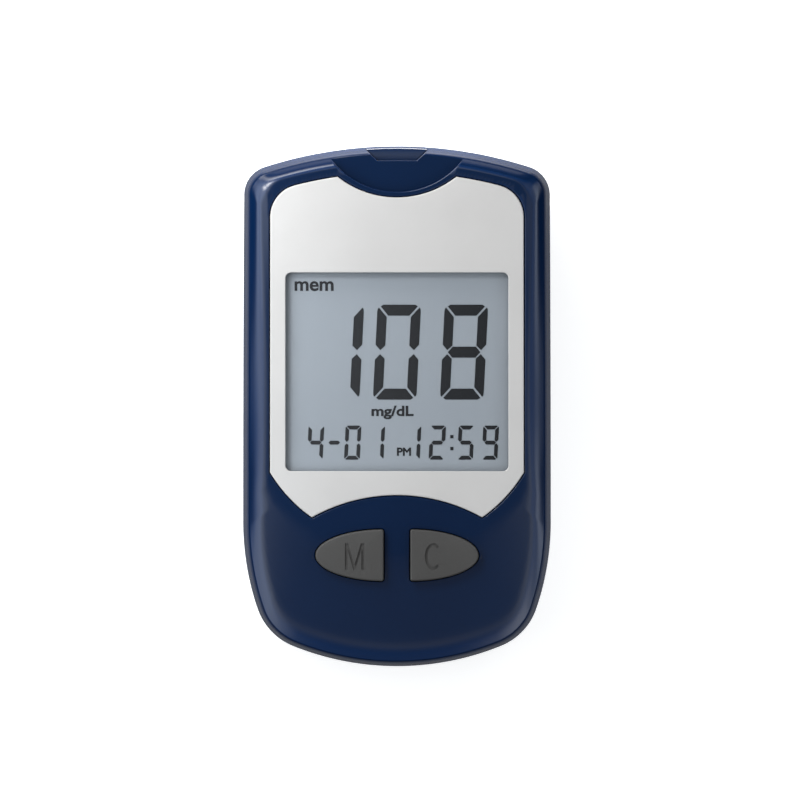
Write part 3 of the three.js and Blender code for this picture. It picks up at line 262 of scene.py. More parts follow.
class MeterDisplaySizes(bpy.types.PropertyGroup):
    """Sizes of what the display shows."""

    ink_thickness: length("Ink thickness", 0.00004, "Thickness of a lit segment")
    big_width: length("Big width", 0.008, "Width of a big digit")
    big_height: length("Big height", 0.01748, "Height of a big digit")
    big_side: length("Big side stroke", 0.00179, "Width of a big digit's upright strokes")
    big_bar: length("Big bar stroke", 0.00203, "Height of a big digit's level strokes")
    big_gap: length("Big gap", 0.00036, "Gap between a big digit's segments")
    big_middle_y: length("Big middle", 0.00997, "Middle of the row of big digits")
    small_width: length("Small width", 0.0029, "Width of a small digit")
    small_height: length("Small height", 0.00628, "Height of a small digit")
    small_side: length("Small side stroke", 0.00068, "Width of a small digit's upright strokes")
    small_bar: length("Small bar stroke", 0.00072, "Height of a small digit's level strokes")
    small_gap: length("Small gap", 0.00014, "Gap between a small digit's segments")
    small_middle_y: length("Small middle", -0.00668, "Middle of the row of small digits")
    colon_dot: length("Colon dot", 0.0006, "Side of each of the colon's dots")
    colon_half_gap: length("Colon gap", 0.0011, "From the middle of the row to each dot")


class MeterColours(bpy.types.PropertyGroup):
    """Colours of the meter's finishes."""

    navy: colour("Navy", (0.0016, 0.0136, 0.0510, 1), "Case plastic")
    navy_shade: colour("Navy shade", (0.0013, 0.0121, 0.0466, 1), "Case plastic where it is darker")
    # Painted light: the first colour below is a bluer painted highlight tint where the front's skin turns a
    # little from the eye, the second is painted shade where it turns more.
    navy_painted_sheen: colour("Navy slanted", (0.002, 0.020, 0.080, 1), "Case plastic where it slopes a little")
    navy_painted_shade: colour("Navy steep", (0.0015, 0.012, 0.048, 1), "Case plastic where it slopes more")
    silver: colour("Silver", (0.675, 0.661, 0.648, 1), "Faceplate")
    silver_shade: colour("Silver shade", (0.64, 0.626, 0.613, 1), "Faceplate where it is darker")
    key: colour("Key grey", (0.077, 0.075, 0.073, 1), "Keys")
    key_shade: colour("Key shade", (0.069, 0.067, 0.065, 1), "Keys where they are darker")
    film: colour("Display grey", (0.325, 0.36, 0.4, 1), "Display behind its digits")
    film_shade: colour("Display shade", (0.313, 0.348, 0.388, 1), "Display where it is darker")
    # Painted reflection: the ink is paler towards the display's left edge, where the lamps' sheen is painted
    # in, and darkest at the right.
    ink_painted_sheen: colour("Ink left", (0.023, 0.023, 0.025, 1), "Lit segments at the display's left edge")
    ink_right: colour("Ink right", (0.001, 0.001, 0.002, 1), "Lit segments at the display's right edge")


class MeterStageSizes(bpy.types.PropertyGroup):
    """Sizes of the stage."""

    view_width: length("View width", 0.1477, "Width of what the camera sees at the case's seam")
    camera_distance: length("Camera distance", 3.0, "From the camera to the case's seam")
    aim_x: length("Aim across", 0.00056, "Where the middle of the picture is, across the case")
    aim_y: length("Aim along", 0.00116, "Where the middle of the picture is, along the case")
    floor_size: length("Floor size", 6.0, "Side of the floor")
    tilt: bpy.props.FloatProperty(
        name="Tilt",
        default=math.radians(1),
        description="How far the camera leans towards the strip end",
        subtype="ANGLE",
    )


# Outlines. The right half is drawn from circles that touch, and the left half is its mirror image.
Circle = namedtuple("Circle", "x y radius")
Arc = namedtuple("Arc", "x y radius start stop")

# How far past the end of an arc a point may lie and still count as on it, in radians.
TURN_SLACK = 1e-6


def mirrored(right):
    """A whole outline from its right half, which starts and ends on the middle line."""
    return right + [(-x, y) for x, y in reversed(right[1:-1])]


def inner_tangent(a, b, radius, up):
    """The circle that touches two larger ones from inside, nearer the strip end if up is 1."""
    reach_a = a.radius - radius
    reach_b = b.radius - radius
    dx, dy = b.x - a.x, b.y - a.y
    apart = math.hypot(dx, dy)
    along = (reach_a**2 - reach_b**2 + apart**2) / (2 * apart)
    across = math.sqrt(max(reach_a**2 - along**2, 0))
    found = [
        Circle(a.x + (dx * along - side * dy * across) / apart,
               a.y + (dy * along + side * dx * across) / apart, radius)
        for side in (1, -1)
    ]
    return max(found, key=lambda circle: circle.y * up)


def chain_of(circles):
    """Arcs that run from one touch to the next, from the strip end to the heel."""
    turns = [math.pi / 2]
    for other, circle in zip(circles, circles[1:]):
        big, small = (other, circle) if other.radius > circle.radius else (circle, other)
        turns.append(math.atan2(small.y - big.y, small.x - big.x))
    turns.append(-math.pi / 2)
    return [Arc(*circle, start, stop) for circle, start, stop in zip(circles, turns, turns[1:])]


def case_chain(case):
    flank_y = HEEL_Y + case.flank_start
    end = Circle(0, END_Y - case.end_radius, case.end_radius)
    side = Circle(SIDE_X - case.side_radius, flank_y, case.side_radius)
    flank = Circle(SIDE_X - case.flank_radius, flank_y, case.flank_radius)
    heel = Circle(0, HEEL_Y + case.heel_radius, case.heel_radius)
    end_corner = inner_tangent(end, side, case.end_corner_radius, 1)
    heel_corner = inner_tangent(flank, heel, case.heel_corner_radius, -1)
    return chain_of([end, end_corner, side, flank, heel_corner, heel])


def plateau_sizes(case):
    """Half the plateau's width, the radius of its heel arc and the middle of that arc."""
    half = PLATE_HIGH.x + case.plateau_rim
    radius = half + case.plateau_bulge
    return half, radius, HEEL_Y + case.plateau_from_heel + radius


def plateau_chain(case):
    half, radius, middle = plateau_sizes(case)
    end = Circle(0, END_Y - case.end_radius, case.end_radius - case.plateau_end_inset)
    side = Circle(half - case.side_radius, middle, case.side_radius)
    heel = Circle(0, middle, radius)
    end_corner = inner_tangent(end, side, case.plateau_corner_radius, 1)
    heel_corner = inner_tangent(side, heel, case.plateau_heel_corner, -1)
    return chain_of([end, end_corner, side, heel_corner, heel])


def case_outline(case, inset):
    """The case's outline moved in, anticlockwise from the middle of the heel."""
    right = [(0.0, HEEL_Y + inset)]
    for arc, count in zip(reversed(case_chain(case)), reversed(CASE_STEPS)):
        for k in range(1, count + 1):
            turn = arc.stop + (arc.start - arc.stop) * k / count
            reach = arc.radius - inset
            right.append((arc.x + reach * math.cos(turn), arc.y + reach * math.sin(turn)))
    right[-1] = (0.0, END_Y - inset)
    return mirrored(right)


def plateau_point(arcs, middle, x, y):
    """The point of the plateau's edge in line with its middle and a given point."""
    away = math.hypot(x, y - middle)
    ux, uy = abs(x) / away, (y - middle) / away
    for arc in arcs:
        fx, fy = -arc.x, middle - arc.y
        along = fx * ux + fy * uy
        rest = along**2 - (fx**2 + fy**2 - arc.radius**2)
        if rest < 0:
            continue
        reach = math.sqrt(rest) - along
        turn = math.atan2(fy + reach * uy, fx + reach * ux)
        if reach > 0 and arc.stop - TURN_SLACK <= turn <= arc.start + TURN_SLACK:
            return math.copysign(reach * ux, x), middle + reach * uy
    raise RuntimeError("the plateau's edge has a break in it")


def at_height(points, z):
    return [(x, y, z) for x, y in points]


def front_rings(case, inset, start):
    """Rings of the front's skin, from the seam to just inside the plateau's edge."""
    rings = [
        at_height(case_outline(case, inset + case.seam_chamfer), start),
        at_height(case_outline(case, inset), start + case.seam_chamfer),
    ]
    wall_top = Vector((case.wall_draft, FACE_Z - case.wall_top_below))
    shoulder = Vector((case.shoulder_inset, FACE_Z - case.shoulder_below))
    lean = case.wall_draft / (wall_top.y - SEAM_Z)
    bend = wall_top + Vector((lean, 1)) * case.shoulder_handle
    for k in range(SHOULDER_STEPS + 1):
        t = k / SHOULDER_STEPS
        point = wall_top * (1 - t) ** 2 + bend * 2 * t * (1 - t) + shoulder * t**2
        rings.append(at_height(case_outline(case, inset + point.x), point.y - inset))
    foot = case_outline(case, inset + case.shoulder_inset)
    arcs = plateau_chain(case)
    half, _, middle = plateau_sizes(case)
    head = [plateau_point(arcs, middle, x, y) for x, y in foot]
    widths = [math.dist(a, b) for a, b in zip(foot, head)]
    for k in range(1, SLOPE_STEPS + 1):
        t = (k / SLOPE_STEPS) ** 2
        ring = []
        for (x, y), (hx, hy), width in zip(foot, head, widths):
            reach = min(width, case.slope_round)
            straight = case.slope_straight * (1 - reach / width)
            rise = straight * t + (1 - straight) * math.sin(min(t * width / reach, 1) * math.pi / 2)
            z = FACE_Z - inset - case.shoulder_below * (1 - rise)
            ring.append((x + (hx - x) * t, y + (hy - y) * t, z))
        rings.append(ring)
    inside = 1 - 2 * case.plateau_rim / half
    rings.append([(x * inside, middle + (y - middle) * inside, z) for x, y, z in rings[-1]])
    return rings


def rear_rings(case, inset, top):
    """Rings of the rear shell's skin, from the flat of the back up to the seam."""
    rings = []
    for k in range(BACK_STEPS + 1):
        turn = math.pi / 2 * k / BACK_STEPS
        reach = inset + (case.back_round_inset - inset) * (1 - math.sin(turn))
        rise = inset + (case.back_round_height - inset) * (1 - math.cos(turn))
        rings.append(at_height(case_outline(case, reach), rise))
    rings.append(at_height(case_outline(case, inset), top - case.seam_chamfer))
    rings.append(at_height(case_outline(case, inset + case.seam_chamfer), top))
    return rings


def arc_points(x, y, radius, start, stop, count):
    turns = [start + (stop - start) * k / count for k in range(count + 1)]
    return [(x + radius * math.cos(turn), y + radius * math.sin(turn)) for turn in turns]


def circle_points(x, y, radius, count):
    return arc_points(x, y, radius, 0, FULL_TURN, count)[:-1]


def middle_of(node):
    low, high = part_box(node)
    return (low + high) / 2


def rounded_rectangle(half_x, half_y, y, radius):
    right = [
        (0.0, y - half_y),
        *arc_points(half_x - radius, y - half_y + radius, radius, -math.pi / 2, 0, SMALL_STEPS),
        *arc_points(half_x - radius, y + half_y - radius, radius, 0, math.pi / 2, SMALL_STEPS),
        (0.0, y + half_y),
    ]
    return mirrored(right)


def window_place(plate):
    """Half the window's width and length, and its middle."""
    top = END_Y - plate.window_from_end
    bottom = KEYS_Y + plate.window_from_key
    return PLATE_HIGH.x - plate.window_border, (top - bottom) / 2, (top + bottom) / 2


def faceplate_outline(case, plate, grow):
    """The faceplate's outline, anticlockwise from the middle of its arch."""
    half = PLATE_HIGH.x + grow
    _, radius, middle = plateau_sizes(case)
    _, window_half, window_y = window_place(plate)
    end = Circle(0, END_Y - case.end_radius, case.end_radius - plate.end_inset + grow)
    side = Circle(half - case.side_radius, middle, case.side_radius)
    corner = inner_tangent(end, side, plate.corner_radius + grow, 1)
    corner_turn = math.atan2(corner.y - end.y, corner.x)
    heel = Circle(0, middle, radius - plate.heel_margin + grow)
    notch = Circle(0, END_Y - plate.notch_from_end + plate.notch_radius, plate.notch_radius - grow)
    arch_top = window_y - window_half - plate.arch_from_window
    arch = Circle(0, arch_top - plate.arch_radius, plate.arch_radius - grow)

    def crossing(a, b):
        return (a.radius**2 - b.radius**2 - a.y**2 + b.y**2) / (2 * (b.y - a.y))

    def turn_at(circle, y):
        return math.asin((y - circle.y) / circle.radius)

    tip_y = crossing(heel, arch)
    notch_y = crossing(end, notch)
    side_turn = -math.acos(half / heel.radius)
    right = [
        *arc_points(0, arch.y, arch.radius, math.pi / 2, turn_at(arch, tip_y), ARC_STEPS),
        *arc_points(0, heel.y, heel.radius, turn_at(heel, tip_y), side_turn, SMALL_STEPS)[1:],
        *arc_points(corner.x, corner.y, corner.radius, 0, corner_turn, SMALL_STEPS * 2),
        *arc_points(0, end.y, end.radius, corner_turn, turn_at(end, notch_y), SMALL_STEPS)[1:],
        *arc_points(0, notch.y, notch.radius, turn_at(notch, notch_y), -math.pi / 2, ARC_STEPS)[1:],
    ]
    right[0] = (0.0, right[0][1])
    right[-1] = (0.0, right[-1][1])
    return mirrored(right)


def key_outline(key, side, grow):
    """Half an ellipse, with its flat side to the middle. Its corners never close, so that every outline has
    the same number of points."""
    radius = max(key.corner_radius + grow, key.corner_radius / 20)
    flat_x = key.gap_half - grow
    reach_x = key.reach + grow
    reach_y = key.half_width + grow
    start = math.acos(radius / reach_x)
    turns = [start * (2 * k / KEY_STEPS - 1) for k in range(1, KEY_STEPS)]
    right = [
        *arc_points(flat_x + radius, KEYS_Y - reach_y + radius, radius, math.pi, math.pi * 1.5, RIM_STEPS),
        *[(key.gap_half + reach_x * math.cos(turn), KEYS_Y + reach_y * math.sin(turn)) for turn in turns],
        *arc_points(flat_x + radius, KEYS_Y + reach_y - radius, radius, math.pi / 2, math.pi, RIM_STEPS),
    ]
    return right if side > 0 else [(-x, y) for x, y in reversed(right)]


def mouth_outline(front, grow):
    """The strip's mouth, which widens towards the strip end and runs out past it."""
    inner_y = END_Y - front.mouth_from_end
    outer_y = END_Y + front.mouth_from_end
    inner = front.mouth_half_width + grow
    outer = inner + (outer_y - inner_y) * front.mouth_flare * 2
    corners = [(inner, inner_y - grow), (outer, outer_y), (-outer, outer_y), (-inner, inner_y - grow)]
    points = []
    for (x0, y0), (x1, y1) in zip(corners, corners[1:] + corners[:1]):
        for k in range(SMALL_STEPS):
            part = k / SMALL_STEPS
            points.append((x0 + (x1 - x0) * part, y0 + (y1 - y0) * part))
    return points


# Mesh work, done with the operators that a person would use.
def pick(*pieces):
    """Leaves only these pieces selected, with the first of them active."""
    if bpy.context.object and bpy.context.object.mode != "OBJECT":
        bpy.ops.object.mode_set(mode="OBJECT")
    bpy.ops.object.select_all(action="DESELECT")
    for piece in pieces:
        piece.select_set(True)
    if pieces:
        bpy.context.view_layer.objects.active = pieces[0]


@contextmanager
def editing(piece):
    """Edit mode, with all of a piece selected."""
    pick(piece)
    bpy.ops.object.mode_set(mode="EDIT")
    bpy.ops.mesh.select_all(action="SELECT")
    yield
    bpy.ops.object.mode_set(mode="OBJECT")


def named(name):
    """The object that an operator has just made, under its name."""
    piece = bpy.context.object
    piece.name = name
    return piece


def loft(name, rings):
    """A closed skin: a filled circle is put on the first ring, then extruded to each ring in turn."""
    pick()
    bpy.ops.mesh.primitive_circle_add(vertices=len(rings[0]), radius=FACE_Z, fill_type="NGON")
    piece = named(name)
    places = piece.data.attributes.new("place", "INT", "POINT")
    places.data.foreach_set("value", range(len(rings[0])))
    with editing(piece):
        for k, ring in enumerate(rings):
            if k:
                bpy.ops.mesh.extrude_region_move()
            mesh = bmesh.from_edit_mesh(piece.data)
            place = mesh.verts.layers.int["place"]
            for vert in mesh.verts:
                if vert.select:
                    vert.co = ring[vert[place]]
            bmesh.update_edit_mesh(piece.data)
        bpy.ops.mesh.select_all(action="SELECT")
        bpy.ops.mesh.normals_make_consistent(inside=False)
    piece.data.attributes.remove(piece.data.attributes["place"])
    return piece


def prism(name, points, bottom, top):
    """A flat outline drawn up from one height to another."""
    return loft(name, [at_height(points, bottom), at_height(points, top)])


def block(name, low, high, bevel=0.0):
    """A box between two corners, with its edges rounded if a bevel is given."""
    pick()
    bpy.ops.mesh.primitive_cube_add(size=1)
    piece = named(name)
    low, high = Vector(low), Vector(high)
    piece.data.transform(Matrix.Translation((low + high) / 2) @ Matrix.Diagonal((*(high - low), 1)))
    if bevel:
        with editing(piece):
            bpy.ops.mesh.bevel(offset=bevel, segments=RIM_STEPS, affect="EDGES")
    return piece


def rod(name, radius, start, stop, sides, bevel=0.0):
    """A round bar from one point to another, with its end edges rounded if a bevel is given."""
    pick()
    start, stop = Vector(start), Vector(stop)
    bpy.ops.mesh.primitive_cylinder_add(vertices=sides, radius=radius, depth=(stop - start).length)
    piece = named(name)
    if bevel:
        with editing(piece):
            mesh = bmesh.from_edit_mesh(piece.data)
            for edge in mesh.edges:
                edge.select = abs(edge.verts[0].co.z - edge.verts[1].co.z) < radius / sides
            bmesh.update_edit_mesh(piece.data)
            bpy.ops.mesh.bevel(offset=bevel, segments=RIM_STEPS, affect="EDGES")
    turn = (stop - start).to_track_quat("Z", "Y").to_matrix().to_4x4()
    piece.data.transform(Matrix.Translation((start + stop) / 2) @ turn)
    return piece


def copy_of(piece, name, place=Matrix()):
    """A copy with a mesh of its own, moved or turned by a matrix."""
    copy = bpy.data.objects.new(name, piece.data.copy())
    bpy.context.scene.collection.objects.link(copy)
    copy.data.transform(place)
    return copy


def join(name, pieces):
    """Several meshes in one object."""
    pick(*pieces)
    bpy.ops.object.join()
    return named(name)


def apply_modifier(piece, kind, **settings):
    """Adds a modifier with these settings and applies it."""
    pick(piece)
    bpy.ops.object.modifier_add(type=kind)
    modifier = piece.modifiers[-1]
    for name, value in settings.items():
        setattr(modifier, name, value)
    bpy.ops.object.modifier_apply(modifier=modifier.name)


def combine(piece, other, operation="DIFFERENCE"):
    """Cuts, joins or trims a piece with another, which is used up."""
    apply_modifier(piece, "BOOLEAN", operation=operation, solver="EXACT", object=other)
    bpy.data.objects.remove(other)
    if not piece.data.polygons:
        raise RuntimeError(f"nothing is left of {piece.name}")
    return piece


def moulding_of(node):
    """A merged copy of a CAD node's loose triangles, with no finish of its own."""
    copy = copy_of(frame["nodes"][node], node + "_copy")
    copy.data.materials.clear()
    pick(copy)
    bpy.ops.mesh.customdata_custom_splitnormals_clear()
    with editing(copy):
        bpy.ops.mesh.remove_doubles(threshold=MERGE_DISTANCE)
        bpy.ops.mesh.dissolve_limited(angle_limit=FLAT_ANGLE)
    return copy


def smooth(piece, bevel=0.0):
    """Rounds the edges if a bevel is given, and shades flats flat and curves smooth."""
    if bevel:
        apply_modifier(
            piece, "BEVEL", width=bevel, segments=BEVEL_STEPS, limit_method="ANGLE", angle_limit=SMOOTH_ANGLE
        )
    pick(piece)
    bpy.ops.object.shade_smooth_by_angle(angle=SMOOTH_ANGLE)
    apply_modifier(piece, "WEIGHTED_NORMAL", keep_sharp=True, weight=100)


def heights(surface, points, floor):
    """How high a surface is at each point. Where it has none, the floor."""
    found = []
    for x, y in points:
        hit, place, _, _ = surface.ray_cast((x, y, CLEAR_Z), (0, 0, -1))
        found.append(max(place.z, floor) if hit else floor)
    return found


def opening(name, surface, outline, floor, rim):
    """A cutter that follows an outline and rounds the edge that it leaves in a surface."""
    plain, wide = outline(0), outline(rim)
    depths = [max(top - floor, rim / 10) for top in heights(surface, plain, floor)]
    radii = [min(rim, depth * RIM_SHARE) for depth in depths]
    rings = [at_height(plain, floor)]
    for k in range(RIM_STEPS + 1):
        turn = k / RIM_STEPS * RIM_ANGLE
        ring = []
        for (x, y), (wide_x, wide_y), depth, radius in zip(plain, wide, depths, radii):
            out = radius * (1 - math.cos(turn)) / rim
            z = floor + depth - radius * (1 - math.sin(turn))
            ring.append((x + (wide_x - x) * out, y + (wide_y - y) * out, z))
        rings.append(ring)
    last, before = rings[-1], rings[-2]
    rings.append([tuple(Vector(a) + (Vector(a) - Vector(b)) * 2) for a, b in zip(last, before)])
    rings.append([(x, y, FACE_Z + rim * 8) for x, y, _ in rings[-1]])
    return loft(name, rings)


def back_opening(name, outline, flare, depth):
    """A cutter that comes up through the back and flares the edge that it leaves there."""
    middle = flare * FLARE_MIDDLE
    steps = ((flare * 2, -flare), (flare, 0), (middle, middle), (0, flare), (0, depth))
    return loft(name, [at_height(outline(grow), z) for grow, z in steps])


# Finishes. Effects that several finishes use are node groups, which put out only values and normals.
def feed(tree, node, sockets):
    """Gives each of these sockets its value, or links another node's output to it."""
    for name, value in sockets.items():
        if isinstance(value, bpy.types.NodeSocket):
            tree.links.new(value, node.inputs[name])
        else:
            node.inputs[name].default_value = value


def add_node(tree, kind, sockets, **settings):
    """The outputs of a new node, which has these settings and whose sockets are fed."""
    node = tree.nodes.new("ShaderNode" + kind)
    for name, value in settings.items():
        setattr(node, name, value)
    feed(tree, node, sockets)
    return node.outputs


def maths(tree, operation, *values):
    """The result of one operation on values or on other nodes' outputs."""
    return add_node(tree, "Math", dict(enumerate(values)), operation=operation)["Value"]


def object_place(tree):
    return add_node(tree, "TexCoord", {})["Object"]


def axes_of(tree, vector):
    return add_node(tree, "SeparateXYZ", {"Vector": vector})


def noise(tree, place, scale, detail):
    return add_node(tree, "TexNoise", {"Vector": place, "Scale": scale, "Detail": detail})["Fac"]


def bump(tree, height, depth):
    return add_node(tree, "Bump", {"Height": height, "Distance": depth})["Normal"]


def blend(tree, factor, first, second):
    """A colour between two others."""
    return add_node(tree, "Mix", {"Factor": factor, "A": first, "B": second}, data_type="RGBA")["Result"]


def mixed(tree, value, colours, bounds=(0.35, 0.65)):
    """A colour that follows a value between two colours."""
    spread = add_node(tree, "MapRange", {"Value": value, "From Min": bounds[0], "From Max": bounds[1]})
    return blend(tree, spread["Result"], *colours)


def ranged(tree, value, low, high, bounds=(0.3, 0.7)):
    """A number that follows a value between two numbers."""
    limits = {"From Min": bounds[0], "From Max": bounds[1], "To Min": low, "To Max": high}
    return add_node(tree, "MapRange", {"Value": value, **limits})["Result"]


def grey(level):
    return level, level, level, 1


def ramp(tree, value, stops):
    """A colour that follows a value from stop to stop. Each stop is a place and a colour."""
    node = tree.nodes.new("ShaderNodeValToRGB")
    feed(tree, node, {"Fac": value})
    elements = node.color_ramp.elements
    elements.remove(elements[-1])
    elements[0].position, elements[0].color = stops[0]
    for place, shade in stops[1:]:
        elements.new(place).color = shade
    return node.outputs


def new_group(name, inputs, outputs):
    """A node group. A normal, and an input whose default has three numbers, is a vector."""
    group = bpy.data.node_groups.new(name, "ShaderNodeTree")
    for socket, default in inputs.items():
        kind = "NodeSocketVector" if isinstance(default, tuple) else "NodeSocketFloat"
        group.interface.new_socket(socket, in_out="INPUT", socket_type=kind).default_value = default
    for socket in outputs:
        kind = "NodeSocketVector" if socket == "Normal" else "NodeSocketFloat"
        group.interface.new_socket(socket, in_out="OUTPUT", socket_type=kind)
    return group, group.nodes.new("NodeGroupInput").outputs, group.nodes.new("NodeGroupOutput")


def moulded_grain():
    """Fine grain in the surface, and a broad unevenness that other values follow."""
    inputs = {"Grain per metre": 4000.0, "Depth": 0.00001, "Broad per metre": 60.0}
    group, given, out = new_group("moulded_grain", inputs, ("Shade", "Grain", "Normal"))
    place = object_place(group)
    grain = noise(group, place, given["Grain per metre"], 3)
    broad = noise(group, place, given["Broad per metre"], 4)
    feed(group, out, {"Shade": broad, "Grain": grain, "Normal": bump(group, grain, given["Depth"])})


def drawn_lines():
    """Fine parallel lines, as rolled or drawn metal has."""
    inputs = {"Stretch": (300.0, 9000.0, 9000.0), "Depth": 0.000002}
    group, given, out = new_group("drawn_lines", inputs, ("Shade", "Normal"))
    factors = {0: object_place(group), 1: given["Stretch"]}
    stretched = add_node(group, "VectorMath", factors, operation="MULTIPLY")["Vector"]
    lines = noise(group, stretched, 1, 2)
    feed(group, out, {"Shade": lines, "Normal": bump(group, lines, given["Depth"])})


def new_finish(name, group, **values):
    """A material that takes its normal from one of the shared effects, which has these values."""
    material = bpy.data.materials.new(name)
    material.use_nodes = True
    tree = material.node_tree
    effect = tree.nodes.new("ShaderNodeGroup")
    effect.node_tree = bpy.data.node_groups[group]
    sockets = {"grain": "Grain per metre", "depth": "Depth", "broad": "Broad per metre"}
    feed(tree, effect, {sockets[key]: value for key, value in values.items()})
    shader = tree.nodes["Principled BSDF"]
    feed(tree, shader, {"Normal": effect.outputs["Normal"]})
    return material, tree, shader, effect.outputs


def moulded(name, colours, roughness, grain=4000.0, depth=0.00001, broad=60.0, metallic=0.0, specular=0.5):
    """Plastic, rubber, paint or resist: an even colour that varies a little, with a grain of its own."""
    material, tree, shader, effect = new_finish(name, "moulded_grain", grain=grain, depth=depth, broad=broad)
    feed(tree, shader, {
        "Base Color": mixed(tree, effect["Shade"], colours),
        "Roughness": ranged(tree, effect["Grain"], *roughness),
        "Metallic": metallic,
        "Specular IOR Level": specular,
    })
    return material


# How strong the polished skin's gloss is as the surface turns away from the eye, from 0 to 1.
GLOSS_STOPS = (
    (0.15, 1), (0.2, 0.6), (0.25, 0.16), (0.34, 0.16), (0.46, 0.26), (0.64, 0.28), (0.78, 0.2), (0.97, 0.12),
)


def polished_plastic(name, colours, painted_tints, roughness):
    """Moulded plastic with a polished skin. Its gloss fades at a slant, as through a polarising filter. Its
    base colour has painted light that follows the slant to the eye: a bluer painted highlight tint where the
    surface turns a little away, and painted shade where it turns more."""
    material, tree, shader, effect = new_finish(name, "moulded_grain", grain=1800, depth=0.0000015)
    slant = add_node(tree, "LayerWeight", {"Blend": 0.5})["Facing"]
    near, far = painted_tints
    # Painted highlight tint, then painted shade, by how far the surface turns from the eye.
    painted_tint_ramp = ramp(tree, slant, [(0.01, (*near[:3], 0)), (0.04, near), (0.14, near), (0.2, far)])
    plain = mixed(tree, effect["Shade"], colours)
    feed(tree, shader, {
        "Base Color": blend(tree, painted_tint_ramp["Alpha"], plain, painted_tint_ramp["Color"]),
        "Specular IOR Level": 0,
        "Coat Weight": ramp(tree, slant, [(place, grey(level)) for place, level in GLOSS_STOPS])["Color"],
        "Coat Roughness": roughness,
    })
    return material


def drawn_metal(name, colours, roughness):
    """Bare or plated metal with fine lines along one direction."""
    material, tree, shader, effect = new_finish(name, "drawn_lines")
    feed(tree, shader, {
        "Base Color": mixed(tree, effect["Shade"], colours),
        "Roughness": ranged(tree, effect["Shade"], *roughness),
        "Metallic": 1,
    })
    return material


def clear_window():
    """A clear pane: nearly all of the light goes straight through it."""
    material, tree, shader, effect = new_finish("window_clear", "moulded_grain", grain=300, depth=0.000001)
    feed(tree, shader, {
        "Base Color": mixed(tree, effect["Shade"], ((0.62, 0.66, 0.7, 1), (0.58, 0.62, 0.67, 1))),
        "Roughness": ranged(tree, effect["Grain"], 0.04, 0.07),
        "Alpha": 0.02,
    })
    return material


def display_ink(colours):
    """Lit segments with a painted reflection: paler at the left edge of the display, fading to dark at the
    right.
    """
    material, tree, shader, effect = new_finish("display_ink", "moulded_grain", grain=7000, depth=0.000001)
    across = axes_of(tree, object_place(tree))["X"]
    feed(tree, shader, {
        # Painted reflection that fades from the left edge of the display to the right.
        "Base Color": mixed(tree, across, colours, (FILM_LOW.x, FILM_HIGH.x)),
        "Roughness": ranged(tree, effect["Grain"], 0.42, 0.46),
        "Specular IOR Level": 0,
    })
    return material


def cell_jacket(dark, copper):
    """A dry cell's printed film: dark, with a copper band at the end where its nub is. The left cell's nub is
    towards the strip end, and the right cell's towards the heel."""
    material, tree, shader, effect = new_finish("cell_jacket", "moulded_grain")
    axes = axes_of(tree, object_place(tree))
    bands = []
    for node, side, past, share_along in (
        ("left_battery", "LESS_THAN", "GREATER_THAN", BAND_START),
        ("right_battery", "GREATER_THAN", "LESS_THAN", 1 - BAND_START),
    ):
        low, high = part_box(node)
        start = low.y + (high.y - low.y) * share_along
        on_side = maths(tree, side, axes["X"], 0)
        bands.append(maths(tree, "MULTIPLY", on_side, maths(tree, past, axes["Y"], start)))
    feed(tree, shader, {
        "Base Color": blend(tree, maths(tree, "ADD", *bands), mixed(tree, effect["Shade"], dark), copper),
        "Roughness": ranged(tree, effect["Grain"], 0.24, 0.32),
    })
    return material


def board_resist():
    """Solder resist over copper tracks, which show as paler lines."""
    material, tree, shader, effect = new_finish("board_green", "moulded_grain")
    tracks = add_node(tree, "TexBrick", {
        "Vector": object_place(tree),
        "Scale": 400,
        "Mortar Size": 0.06,
        "Color1": (0.010, 0.075, 0.030, 1),
        "Color2": (0.012, 0.085, 0.034, 1),
        "Mortar": (0.030, 0.16, 0.07, 1),
    })
    feed(tree, shader, {
        "Base Color": tracks["Color"],
        "Roughness": ranged(tree, effect["Grain"], 0.28, 0.4),
    })
    return material


STEEL = ((0.56, 0.56, 0.57, 1), (0.47, 0.47, 0.48, 1))
GOLD = ((0.78, 0.55, 0.20, 1), (0.66, 0.45, 0.15, 1))
GLASS = ((0.5, 0.56, 0.62, 1), (0.47, 0.53, 0.6, 1))
TRAY = ((0.76, 0.76, 0.73, 1), (0.7, 0.7, 0.67, 1))
RUBBER = ((0.3, 0.15, 0.16, 1), (0.26, 0.13, 0.14, 1))
CHIP = ((0.014, 0.014, 0.015, 1), (0.02, 0.02, 0.022, 1))
JACKET = ((0.030, 0.033, 0.038, 1), (0.024, 0.026, 0.031, 1))
COPPER = (0.50, 0.21, 0.09, 1)


